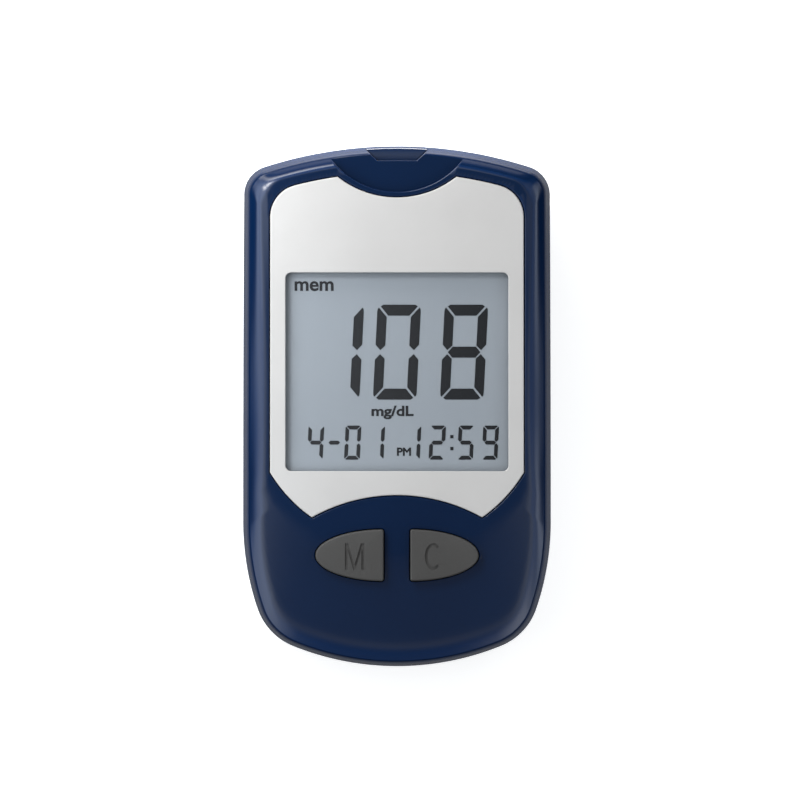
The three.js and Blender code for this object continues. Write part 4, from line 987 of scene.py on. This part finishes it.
def make_finishes(colours):
    """Every finish of the meter, by name."""
    moulded_grain()
    drawn_lines()
    navy = (colours.navy, colours.navy_shade)
    # Painted highlight tint and painted shade of the front's skin.
    painted_tints = (colours.navy_painted_sheen, colours.navy_painted_shade)
    silver = (colours.silver, colours.silver_shade)
    key = (colours.key, colours.key_shade)
    film = (colours.film, colours.film_shade)
    return {
        "case_front": polished_plastic("case_navy_front", navy, painted_tints, 0.21),
        "case_back": moulded("case_navy_back", navy, (0.34, 0.46), 5200.0, 0.000016, specular=0.25),
        "port": moulded("port_navy", navy, (0.18, 0.24), 3000.0, 0.000004, specular=0.3),
        "plate": moulded(
            "faceplate_silver", silver, (0.36, 0.44), 9000.0, 0.000003, metallic=0.08, specular=0.4
        ),
        "key": moulded("key_grey", key, (0.5, 0.6), 6000.0, specular=0.35),
        "window": clear_window(),
        "glass": moulded("display_glass", GLASS, (0.06, 0.1), depth=0.000001),
        "film": moulded("display_film", film, (0.42, 0.5), 7000.0, 0.000002, 30.0, specular=0.4),
        "ink": display_ink((colours.ink_painted_sheen, colours.ink_right)),
        "tray": moulded("tray_white", TRAY, (0.5, 0.6)),
        "rubber": moulded("strip_rubber", RUBBER, (0.6, 0.75)),
        "board": board_resist(),
        "chip": moulded("chip_black", CHIP, (0.5, 0.65), 7000.0),
        "gold": drawn_metal("contact_gold", GOLD, (0.2, 0.34)),
        "steel": drawn_metal("spring_steel", STEEL, (0.2, 0.36)),
        "jacket": cell_jacket(JACKET, COPPER),
    }


FINISHES = {}


def finish(piece, name):
    piece.data.materials.clear()
    piece.data.materials.append(FINISHES[name])


def place_on(piece, body, name, nodes=()):
    """Gives a piece its body and its finish, and hides the CAD nodes that it stands for."""
    finish(piece, name)
    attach(piece, body)
    if nodes:
        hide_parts(*nodes)


def fine_moulding(node, case, skin, rings, end):
    """A CAD moulding under a fine skin: the skin is hollowed, and the moulding is trimmed to lie inside."""
    combine(skin, loft("inner", rings(case, case.skin, end)))
    core = loft("core", rings(case, case.skin - case.skin_overlap, end))
    body = combine(moulding_of(node), core, "INTERSECT")
    combine(skin, body, "UNION")
    skin.name = node + "_fine"
    return skin


class METER_OT_finishes(bpy.types.Operator):
    """Makes every finish, and gives one to each CAD node that stays in sight"""

    bl_idname = "meter.finishes"
    bl_label = "Finishes"

    def execute(self, context):
        FINISHES.update(make_finishes(context.scene.meter_colours))
        by_slot = {
            "case_navy": "case_back",
            "faceplate_silver": "plate",
            "key_grey": "key",
            "window_clear": "window",
            "display_glass": "glass",
            "display_film": "film",
            "tray_white": "tray",
            "strip_rubber": "rubber",
            "board_green": "board",
            "chip_black": "chip",
            "contact_gold": "gold",
            "spring_steel": "steel",
            "cell_jacket": "jacket",
        }
        for row in frame["record"]["subparts"]:
            finish(frame["nodes"][row["node"]], by_slot[row["material_slot"]])
        return {"FINISHED"}


class METER_OT_front_shell(bpy.types.Operator):
    """Makes the front shell with its recess, key wells, scoop and mouth"""

    bl_idname = "meter.front_shell"
    bl_label = "Front shell"

    def execute(self, context):
        case = context.scene.meter_case
        front = context.scene.meter_front
        plate = context.scene.meter_plate
        key = context.scene.meter_key
        gap = case.fine_gap
        skin = loft("front_skin", front_rings(case, 0, SEAM_Z + gap))
        blank = copy_of(skin, "front_blank")
        below_seam = SEAM_Z - case.skin - case.skin_overlap
        shell = fine_moulding("front_shell", case, skin, front_rings, below_seam)

        def plate_recess(grow):
            return faceplate_outline(case, plate, front.plate_clearance + gap + grow)

        def scoop(grow):
            y = END_Y - front.scoop_from_end + front.scoop_radius
            return circle_points(0, y, front.scoop_radius + gap + grow, ARC_STEPS * 4)

        def left_well(grow):
            return key_outline(key, -1, front.key_clearance + gap + grow)

        def right_well(grow):
            return key_outline(key, 1, front.key_clearance + gap + grow)

        for outline, floor, rim in (
            (plate_recess, PLATE_LOW.z - front.plate_bed, case.rim_radius),
            (scoop, FACE_Z - case.shoulder_below, case.rim_radius),
            (left_well, KEY_LOW.z, front.well_rim),
            (right_well, KEY_LOW.z, front.well_rim),
        ):
            combine(shell, opening(outline.__name__, blank, outline, floor, rim))
        bpy.data.objects.remove(blank)

        def mouth(grow):
            return mouth_outline(front, gap + grow)

        combine(shell, opening("mouth", shell, mouth, front.mouth_bottom, case.rim_radius / 2))
        lens_half = (LENS_HIGH - LENS_LOW) / 2
        half_x, half_y = lens_half.x + front.plate_clearance, lens_half.y + front.plate_clearance
        pocket = rounded_rectangle(half_x, half_y, window_place(plate)[2], front.lens_corner_radius)
        combine(shell, prism("lens_pocket", pocket, LENS_LOW.z - gap, CLEAR_Z))
        wide = Vector((1, 1, 1)) * front.glass_clearance
        high = GLASS_HIGH + wide
        high.z = CLEAR_Z
        combine(shell, block("glass_opening", GLASS_LOW - wide, high))
        smooth(shell)
        place_on(shell, "case", "case_front", ["front_shell"])
        return {"FINISHED"}


class METER_OT_faceplate(bpy.types.Operator):
    """Makes the silver faceplate with its rounded edges and its window"""

    bl_idname = "meter.faceplate"
    bl_label = "Faceplate"

    def execute(self, context):
        case = context.scene.meter_case
        plate = context.scene.meter_plate
        edge = plate.edge_radius
        rings = [at_height(faceplate_outline(case, plate, 0), PLATE_LOW.z)]
        for k in range(RIM_STEPS + 1):
            turn = math.pi / 2 * k / RIM_STEPS
            outline = faceplate_outline(case, plate, -edge * (1 - math.cos(turn)))
            rings.append(at_height(outline, PLATE_HIGH.z - edge * (1 - math.sin(turn))))
        rings.append(at_height(faceplate_outline(case, plate, -edge * 2), PLATE_HIGH.z))
        piece = loft("faceplate_fine", rings)
        half_x, half_y, middle = window_place(plate)
        corner = plate.window_corner_radius

        def window(grow):
            return rounded_rectangle(half_x + grow, half_y + grow, middle, corner + grow)

        combine(piece, opening("window", piece, window, PLATE_LOW.z - edge, edge))
        smooth(piece)
        place_on(piece, "case", "plate", ["faceplate"])
        return {"FINISHED"}


class METER_OT_rear_shell(bpy.types.Operator):
    """Makes the rear shell with its round back, its screw recesses and the opening for the door"""

    bl_idname = "meter.rear_shell"
    bl_label = "Rear shell"

    def execute(self, context):
        case = context.scene.meter_case
        door = context.scene.meter_door
        back = context.scene.meter_back
        flare = case.rim_radius
        skin = loft("rear_skin", rear_rings(case, 0, case.seam_height - case.fine_gap))
        shell = fine_moulding("rear_shell", case, skin, rear_rings, REAR_TOP + case.skin)
        clear = door.clearance + case.fine_gap
        past_heel = HEEL_Y - flare * 8

        def doorway(grow):
            x = DOOR_HIGH.x - door.rail_reach + clear + grow
            y = door.end_y + clear + grow
            return [(-x, past_heel), (x, past_heel), (x, y), (-x, y)]

        combine(shell, back_opening("doorway", doorway, flare, door.heel_height + clear))
        for name in SCREWS:
            x, y, _ = middle_of(name)

            def recess(grow):
                return circle_points(x, y, back.recess_radius + grow, ARC_STEPS)

            combine(shell, back_opening("screw_recess", recess, flare, back.recess_depth))
        smooth(shell)
        place_on(shell, "case", "case_back", ["rear_shell"])
        return {"FINISHED"}


class METER_OT_battery_door(bpy.types.Operator):
    """Makes the battery door with its rounded edges, rails, tongue and grip grooves"""

    bl_idname = "meter.battery_door"
    bl_label = "Battery door"

    def execute(self, context):
        case = context.scene.meter_case
        door = context.scene.meter_door
        half = DOOR_HIGH.x - door.rail_reach
        skin = loft("door_skin", rear_rings(case, 0, case.seam_height))
        low = (-half, HEEL_Y - door.heel_height, DOOR_LOW.z)
        high = (half, door.end_y, door.heel_height)
        combine(skin, block("door_block", low, high, door.edge_radius), "INTERSECT")
        piece = fine_moulding("battery_door", case, skin, rear_rings, case.seam_height)
        radius = door.groove_radius
        y = HEEL_Y + door.groove_from_heel
        z = DOOR_LOW.z + door.groove_depth - radius
        ends = [(side * door.groove_half_length, y, z) for side in (-1, 1)]
        groove = rod("grip_groove", radius, *ends, SMALL_STEPS * 2, radius * door.groove_end_round)
        for k in range(door.groove_count):
            place = Matrix.Translation((0, k * door.groove_pitch, 0))
            combine(piece, copy_of(groove, "grip_groove", place))
        bpy.data.objects.remove(groove)
        smooth(piece)
        place_on(piece, "door", "case_back", ["battery_door"])
        return {"FINISHED"}


class METER_OT_strip_port(bpy.types.Operator):
    """Makes the strip port with its edges rounded"""

    bl_idname = "meter.strip_port"
    bl_label = "Strip port"

    def execute(self, context):
        piece = moulding_of("strip_port")
        piece.name = "strip_port_fine"
        smooth(piece, context.scene.meter_front.port_edge)
        place_on(piece, "case", "port", ["strip_port"])
        return {"FINISHED"}


def stroke(points, half):
    """The outline of a bar of even width along a line of points, with square ends."""
    left, right = [], []
    for k, point in enumerate(points):
        point = Vector(point)
        before = Vector(points[k - 1]) if k else None
        after = Vector(points[k + 1]) if k < len(points) - 1 else None
        into = (point - before).normalized() if before else (after - point).normalized()
        out = (after - point).normalized() if after else into
        across = Vector((-into.y - out.y, into.x + out.x)).normalized()
        reach = half / across.dot(Vector((-into.y, into.x)))
        left.append(point + across * reach)
        right.append(point - across * reach)
    return right + left[::-1]


def left_legend(key):
    """The outline of a capital letter M. Its slants are a little wider than its uprights."""
    x, y = key.left_legend_x, KEYS_Y + key.legend_y
    w, h, s = key.left_legend_width / 2, key.legend_height / 2, key.legend_stroke
    right = [
        (s * 0.45, -h), (w - s, h - s * 2.3), (w - s, -h), (w, -h),
        (w, h), (w - s * 1.15, h), (0, -h + s * 1.7),
    ]
    left = [(-px, py) for px, py in reversed(right[:-1])]
    return [(x + px, y + py) for px, py in right + left]


# The turn from the middle of the right legend's opening to its upper end.
LEGEND_MOUTH = math.radians(48)


def right_legend(key):
    """The outline of a capital letter C."""
    x, y = key.right_legend_x, KEYS_Y + key.legend_y
    w = (key.right_legend_width - key.legend_stroke) / 2
    h = (key.legend_height - key.legend_stroke) / 2
    line = arc_points(0, 0, 1, LEGEND_MOUTH, FULL_TURN - LEGEND_MOUTH, ARC_STEPS)
    return stroke([(x + w * px, y + h * py) for px, py in line], key.legend_stroke / 2)


class METER_OT_keys(bpy.types.Operator):
    """Makes the two keys with their rounded tops and sunk legends"""

    bl_idname = "meter.keys"
    bl_label = "Keys"

    def execute(self, context):
        key = context.scene.meter_key
        for side, name, legend in ((-1, "left", left_legend), (1, "right", right_legend)):
            node = name + "_button"
            piece = self.cap(key, side)
            lower = moulding_of(node)
            cut_z = FACE_Z - key.skirt_below + key.cap_overlap
            combine(lower, block("key_top", (-SIDE_X, HEEL_Y, cut_z), (SIDE_X, END_Y, CLEAR_Z)))
            combine(piece, lower, "UNION")
            top = KEY_HIGH.z - key.crown / 2
            depth = key.legend_depth
            combine(piece, prism("legend", legend(key), top - depth, top + depth))
            piece.name = node + "_fine"
            smooth(piece)
            place_on(piece, name + "_key", "key", [node])
        return {"FINISHED"}

    def cap(self, key, side):
        """A key's skirt, rounded edge and crowned top."""
        edge = key.edge_radius
        flat_top = KEY_HIGH.z - key.crown
        rings = [at_height(key_outline(key, side, 0), FACE_Z - key.skirt_below)]
        for k in range(RIM_STEPS * 2 + 1):
            turn = math.pi / 2 * k / (RIM_STEPS * 2)
            outline = key_outline(key, side, -edge * (1 - math.cos(turn)))
            rings.append(at_height(outline, flat_top - edge * (1 - math.sin(turn))))
        last = key_outline(key, side, -edge)
        centre = Vector((side * (key.gap_half + key.reach * key.crown_middle), KEYS_Y))
        for k in range(1, CROWN_STEPS):
            part = k / CROWN_STEPS
            ring = [tuple(centre + (Vector(point) - centre) * (1 - part)) for point in last]
            rings.append(at_height(ring, flat_top + key.crown * math.sin(part * math.pi / 2)))
        return loft("key_cap", rings)


def lit_segments(width, height, side, bar, gap):
    """The outline of each segment of a digit, by its usual letter, round the middle of the digit. The outer
    corners are cut by shares of the side stroke, and the slanted gaps are shares of the level one."""
    w, h = width / 2, height / 2
    cut = side * 0.3
    slant = gap * 0.7

    def top_bar(up):
        return [
            (-w + side + slant, up * (h - bar)),
            (-w + slant + cut * 0.6, up * (h - cut * 0.6)),
            (-w + slant + cut * 1.5, up * h),
            (w - slant - cut * 1.5, up * h),
            (w - slant - cut * 0.6, up * (h - cut * 0.6)),
            (w - side - slant, up * (h - bar)),
        ]

    def upright(across, up):
        return [
            (across * (w - cut * 0.5), up * (h - slant - cut * 0.5)),
            (across * (w - cut * 0.12), up * (h - slant - cut)),
            (across * w, up * (h - slant - cut * 2)),
            (across * w, up * (bar / 2 + gap)),
            (across * (w - side / 2), up * gap),
            (across * (w - side), up * (bar / 2 + gap / 2)),
            (across * (w - side), up * (h - bar - slant)),
        ]

    tip = w - side / 2 - gap * 0.3
    corner = w - side - gap * 0.2
    middle = [
        (-tip, 0), (-corner, bar / 2), (corner, bar / 2), (tip, 0), (corner, -bar / 2), (-corner, -bar / 2),
    ]
    return {
        "a": top_bar(1),
        "b": upright(1, 1),
        "c": upright(1, -1),
        "d": top_bar(-1),
        "e": upright(-1, -1),
        "f": upright(-1, 1),
        "g": middle,
    }


def word(text, low, high, bottom, thickness, boldness):
    """A word between two corners, as a thin mesh."""
    pick()
    bpy.ops.object.text_add()
    piece = bpy.context.object
    piece.data.body = text
    piece.data.bevel_depth = boldness
    piece.data.bevel_resolution = 0
    piece.data.extrude = 0.5
    bpy.ops.object.convert(target="MESH")
    corners = [vert.co for vert in piece.data.vertices]
    least = Vector([min(co[k] for co in corners) for k in range(3)])
    most = Vector([max(co[k] for co in corners) for k in range(3)])
    wanted = Vector((high[0] - low[0], high[1] - low[1], thickness))
    scale = Matrix.Diagonal([size / natural for size, natural in zip(wanted, most - least)] + [1])
    piece.data.transform(Matrix.Translation((*low, bottom)) @ scale @ Matrix.Translation(-least))
    with editing(piece):
        bpy.ops.mesh.remove_doubles(threshold=MERGE_DISTANCE)
    return piece


# Which segments each character lights, and how far a digit leans to the right for each unit of height.
LIT = {
    "0": "abcdef", "1": "bc", "2": "abdeg", "4": "bcfg",
    "5": "acdfg", "8": "abcdefg", "9": "abcdfg", "-": "g",
}
LEAN = math.tan(math.radians(2.9))

# Each character and how far the middle of its place is from the middle of the display, in millimetres.
BIG_DIGITS = (("1", -10.47), ("0", 0.0), ("8", 12.35))
SMALL_DIGITS = (
    ("4", -14.97), ("-", -11.54), ("0", -8.14), ("1", -3.77),
    ("1", 2.9), ("2", 7.42), ("5", 12.67), ("9", 17.18),
)
COLON_X = 10.1

# Each word, its lower and upper corners in millimetres, and how much bolder than the plain letters it is.
WORDS = (
    ("mem", (-18.84, 21.2), (-11.66, 23.03), 0.024),
    ("mg/dL", (-4.7, -2.38), (3.06, 0.13), 0.03),
    ("PM", (-0.01, -9.12), (2.59, -7.59), 0.035),
)

# The camera leans and aims at the seam, so what the display shows, which is above the seam, stands this
# much nearer the strip end than it looks.
PARALLAX = 0.17 * MM


class METER_OT_display(bpy.types.Operator):
    """Makes the display's lit segments and words"""

    bl_idname = "meter.display"
    bl_label = "Display"

    def execute(self, context):
        show = context.scene.meter_display
        bottom = FILM_HIGH.z
        top = bottom + show.ink_thickness
        big = (show.big_width, show.big_height, show.big_side, show.big_bar, show.big_gap)
        small = (show.small_width, show.small_height, show.small_side, show.small_bar, show.small_gap)
        reading = self.digits(BIG_DIGITS, big, show.big_middle_y, bottom, top)
        clock = self.digits(SMALL_DIGITS, small, show.small_middle_y, bottom, top)
        dot = show.colon_dot / 2
        for side in (-1, 1):
            x, y = COLON_X * MM, show.small_middle_y + PARALLAX + side * show.colon_half_gap
            points = [(x - dot, y - dot), (x + dot, y - dot), (x + dot, y + dot), (x - dot, y + dot)]
            clock.append(prism("dot", points, bottom, top))
        words = []
        for text, low, high, boldness in WORDS:
            corners = [(x * MM, y * MM + PARALLAX) for x, y in (low, high)]
            words.append(word(text, *corners, bottom, show.ink_thickness, boldness))
        for name, pieces in (("reading", reading), ("date_and_time", clock), ("display_words", words)):
            place_on(join(name, pieces), "case", "ink")
        return {"FINISHED"}

    def digits(self, row, sizes, y, bottom, top):
        """A row of digits. Each segment is made once, and copied to each digit that lights it."""
        blanks = {}
        for letter, outline in lit_segments(*sizes).items():
            leaning = [(px + py * LEAN, py) for px, py in outline]
            blanks[letter] = prism("segment_" + letter, leaning, bottom, top)
        lit = []
        for character, x in row:
            place = Matrix.Translation((x * MM, y + PARALLAX, 0))
            lit += [copy_of(blanks[letter], "segment", place) for letter in LIT[character]]
        for blank in blanks.values():
            bpy.data.objects.remove(blank)
        return lit


class METER_OT_cells(bpy.types.Operator):
    """Makes the two dry cells with their rounded cans and nubs"""

    bl_idname = "meter.cells"
    bl_label = "Cells"

    def execute(self, context):
        cell = context.scene.meter_cell
        low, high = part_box("left_battery")
        half = (high.y - low.y) / 2
        shoulder = half - cell.nub_height
        radius = (high.x - low.x) / 2
        blank = rod("cell", radius, (0, -half, 0), (0, shoulder, 0), CELL_SIDES, cell.can_edge)
        inside = (0, shoulder - cell.nub_height, 0)
        nub = rod("nub", cell.nub_radius, inside, (0, half, 0), NUB_SIDES, cell.nub_edge)
        combine(blank, nub, "UNION")
        for node, turn in (("left_battery", 0), ("right_battery", math.pi)):
            middle = middle_of(node)
            place = Matrix.Translation(middle) @ Matrix.Rotation(turn, 4, "Z")
            piece = copy_of(blank, node + "_fine", place)
            smooth(piece)
            place_on(piece, "case", "jacket", [node])
            piece.data.materials.append(FINISHES["steel"])
            for face in piece.data.polygons:
                if abs(face.normal.y) > 0.5 or abs(face.center.y - middle.y) > shoulder:
                    face.material_index = 1
        bpy.data.objects.remove(blank)
        return {"FINISHED"}


class METER_OT_screws(bpy.types.Operator):
    """Makes the four case screws with crossed slots in their heads"""

    bl_idname = "meter.screws"
    bl_label = "Case screws"

    def execute(self, context):
        back = context.scene.meter_back
        low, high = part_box(SCREWS[0])
        seat = low.z + back.head_height
        blank = rod("screw", back.head_radius, (0, 0, low.z), (0, 0, seat), ARC_STEPS, back.head_edge)
        shank_start = (0, 0, seat - back.head_height / 2)
        shank = rod("shank", back.shank_radius, shank_start, (0, 0, high.z), SMALL_STEPS * 2)
        combine(blank, shank, "UNION")
        for x, y in ((back.cross_reach, back.cross_half), (back.cross_half, back.cross_reach)):
            z = low.z + back.cross_depth
            combine(blank, block("slot", (-x, -y, low.z - back.cross_depth), (x, y, z)))
        for node in SCREWS:
            x, y, _ = middle_of(node)
            piece = copy_of(blank, node + "_fine", Matrix.Translation((x, y, 0)))
            smooth(piece)
            place_on(piece, "case", "steel", [node])
        bpy.data.objects.remove(blank)
        return {"FINISHED"}


# Each lamp is a soft panel. Its size is across and along, and its fade is how fast it dims to its edges.
Lamp = namedtuple("Lamp", "name place target size brightest fade colour")
WARM = (1.03, 1, 0.97)
WHITE = (1, 1, 1)
COOL = (0.94, 1, 1.05)
LAMPS = (
    Lamp("key_light", (-0.118, 0.127, 0.157), (0, 0, FACE_Z), (0.055, 0.055), 23.0, 0.5, WARM),
    Lamp("corner_lamp", (-0.05, 0.132, 0.056), (0, 0, FACE_Z), (0.09, 0.05), 12.0, 0.8, WHITE),
    Lamp("end_lamp", (0, 0.085, 0.11), (0, 0.045, FACE_Z), (0.08, 0.03), 1.4, 0.6, COOL),
    Lamp("end_card", (0, 0.064, 0.011), (0, 0.04, 0.011), (0.07, 0.02), 8.0, 0.3, WARM),
    Lamp("heel_lamp", (0.0737, -0.0878, 0.1023), (0, 0, FACE_Z), (0.09, 0.06), 2.0, 0.8, WHITE),
)

# Four panels stand one above the other on each side, in an end and a heel part. Each row has the part's name,
# the place on the face that its panels turn to, how far out they stand, and how bright each of them is.
PANEL_ANGLES = (61, 48, 33, 19)
PANEL_LENGTH = 0.11
PANEL_WIDTH = 0.36
PANEL_FADE = 0.6
SIDE_PANELS = (
    ("left_end", -0.024, 0.05, -0.07, (3.0, 2.0, 3.3, 1.6)),
    ("left_heel", -0.024, -0.04, -0.07, (1.1, 1.9, 2.4, 1.4)),
    ("right_end", 0.024, 0.05, 0.09, (2.3, 0.2, 0.4, 0)),
    ("right_heel", 0.024, -0.04, 0.09, (2.2, 0.4, 0.7, 0.7)),
)

# How bright the world is at each angle from straight up.
SKY_STOPS = ((4, 0.005), (8, 0.12), (16, 0.6), (28, 0.02), (44, 0.3), (60, 0.02), (90, 0.02))

# How bright the floor looks to the camera and in reflections, over what the lamps give it.
FLOOR_GLOW = 0.66


def side_panels():
    """The lamps of the panels on both sides. Their width is a share of how far out they stand."""
    panels = []
    for name, x, y, far, levels in SIDE_PANELS:
        size = (PANEL_LENGTH, abs(far) * PANEL_WIDTH)
        for degrees, level in zip(PANEL_ANGLES, levels):
            angle = math.radians(degrees)
            place = (x + far * math.sin(angle), y, FACE_Z + abs(far) * math.cos(angle))
            panels.append(Lamp(f"{name}_{degrees}", place, (x, y, FACE_Z), size, level, PANEL_FADE, COOL))
    return panels


def fade(tree, along, power):
    """One at the middle of a panel and nothing at its ends."""
    bell = maths(tree, "MULTIPLY", maths(tree, "MULTIPLY", along, maths(tree, "SUBTRACT", 1, along)), 4)
    return maths(tree, "POWER", bell, power)


class METER_OT_stage(bpy.types.Operator):
    """Makes the camera, the pale floor, the lamps and the world"""

    bl_idname = "meter.stage"
    bl_label = "Stage"

    def execute(self, context):
        stage = context.scene.meter_stage
        self.add_camera(context, stage)
        self.add_floor(stage)
        for panel in (*LAMPS, *side_panels()):
            self.add_lamp(panel)
        self.add_world(context)
        context.scene.view_settings.view_transform = "Standard"
        return {"FINISHED"}

    def add_camera(self, context, stage):
        aim = Vector((stage.aim_x, stage.aim_y, SEAM_Z))
        away = Vector((0, math.sin(stage.tilt), math.cos(stage.tilt)))
        bpy.ops.object.camera_add(location=aim + away * stage.camera_distance, rotation=(-stage.tilt, 0, 0))
        camera = context.object
        camera.data.lens = camera.data.sensor_width * stage.camera_distance / stage.view_width
        context.scene.camera = camera

    def add_floor(self, stage):
        """A white floor that glows for the camera, for reflections and through glass, but lights nothing."""
        pick()
        bpy.ops.mesh.primitive_plane_add(size=stage.floor_size)
        floor = named("floor")
        material = bpy.data.materials.new("floor_white")
        material.use_nodes = True
        tree = material.node_tree
        path = add_node(tree, "LightPath", {})
        seen = maths(tree, "MAXIMUM", path["Is Camera Ray"], path["Is Glossy Ray"])
        seen = maths(tree, "MAXIMUM", seen, path["Is Transmission Ray"])
        feed(tree, tree.nodes["Principled BSDF"], {
            "Base Color": grey(0.8),
            "Roughness": 1,
            "Specular IOR Level": 0,
            "Emission Color": grey(1),
            "Emission Strength": maths(tree, "MULTIPLY", seen, FLOOR_GLOW),
        })
        floor.data.materials.append(material)

    def add_lamp(self, panel):
        """A soft panel that faces a place on the meter and fades to its edges. The camera doesn't see it."""
        pick()
        turn = (Vector(panel.place) - Vector(panel.target)).to_track_quat("Z", "Y").to_euler()
        bpy.ops.object.light_add(type="AREA", location=panel.place, rotation=turn)
        lamp = named(panel.name)
        lamp.visible_camera = False
        lamp.data.shape = "RECTANGLE"
        lamp.data.size, lamp.data.size_y = panel.size
        lamp.data.color = panel.colour
        lamp.data.energy = panel.brightest * panel.size[0] * panel.size[1] * math.pi
        lamp.data.use_nodes = True
        tree = lamp.data.node_tree
        axes = axes_of(tree, add_node(tree, "NewGeometry", {})["Parametric"])
        both = maths(tree, "MULTIPLY", fade(tree, axes["X"], panel.fade), fade(tree, axes["Y"], panel.fade))
        feed(tree, tree.nodes["Emission"], {"Strength": both})

    def add_world(self, context):
        """Dark straight overhead and at the horizon, brightest in a ring about 16 degrees from straight up,
        with a dimmer ring about 44 degrees from it.
        """
        world = context.scene.world or bpy.data.worlds.new("studio")
        context.scene.world = world
        world.use_nodes = True
        tree = world.node_tree
        up = axes_of(tree, add_node(tree, "TexCoord", {})["Generated"])["Z"]
        part = maths(tree, "DIVIDE", maths(tree, "ARCCOSINE", up), math.pi)
        stops = [(degrees / 180, grey(level)) for degrees, level in SKY_STOPS]
        feed(tree, tree.nodes["Background"], {"Color": ramp(tree, part, stops)["Color"]})


class METER_PT_panel(bpy.types.Panel):
    """Lists the meter's pieces"""

    bl_idname = "METER_PT_panel"
    bl_label = "Blood glucose meter"
    bl_space_type = "VIEW_3D"
    bl_region_type = "UI"
    bl_category = "Meter"

    def draw(self, context):
        for operator in OPERATORS:
            self.layout.operator(operator.bl_idname)


SIZES = {
    "meter_case": MeterCaseSizes,
    "meter_front": MeterFrontSizes,
    "meter_plate": MeterPlateSizes,
    "meter_key": MeterKeySizes,
    "meter_display": MeterDisplaySizes,
    "meter_door": MeterDoorSizes,
    "meter_back": MeterBackSizes,
    "meter_cell": MeterCellSizes,
    "meter_colours": MeterColours,
    "meter_stage": MeterStageSizes,
}
OPERATORS = (
    METER_OT_stage,
    METER_OT_finishes,
    METER_OT_front_shell,
    METER_OT_rear_shell,
    METER_OT_battery_door,
    METER_OT_strip_port,
    METER_OT_faceplate,
    METER_OT_keys,
    METER_OT_display,
    METER_OT_cells,
    METER_OT_screws,
)


def register():
    for kind in (*SIZES.values(), *OPERATORS, METER_PT_panel):
        bpy.utils.register_class(kind)
    for name, kind in SIZES.items():
        setattr(bpy.types.Scene, name, bpy.props.PointerProperty(type=kind))


def unregister():
    for name in SIZES:
        delattr(bpy.types.Scene, name)
    for kind in (METER_PT_panel, *reversed(OPERATORS), *reversed(SIZES.values())):
        bpy.utils.unregister_class(kind)


def main():
    register()
    bpy.ops.meter.stage()
    bpy.ops.meter.finishes()
    bpy.ops.meter.front_shell()
    bpy.ops.meter.rear_shell()
    bpy.ops.meter.battery_door()
    bpy.ops.meter.strip_port()
    bpy.ops.meter.faceplate()
    bpy.ops.meter.keys()
    bpy.ops.meter.display()
    bpy.ops.meter.cells()
    bpy.ops.meter.screws()


if __name__ == "__main__":
    main()
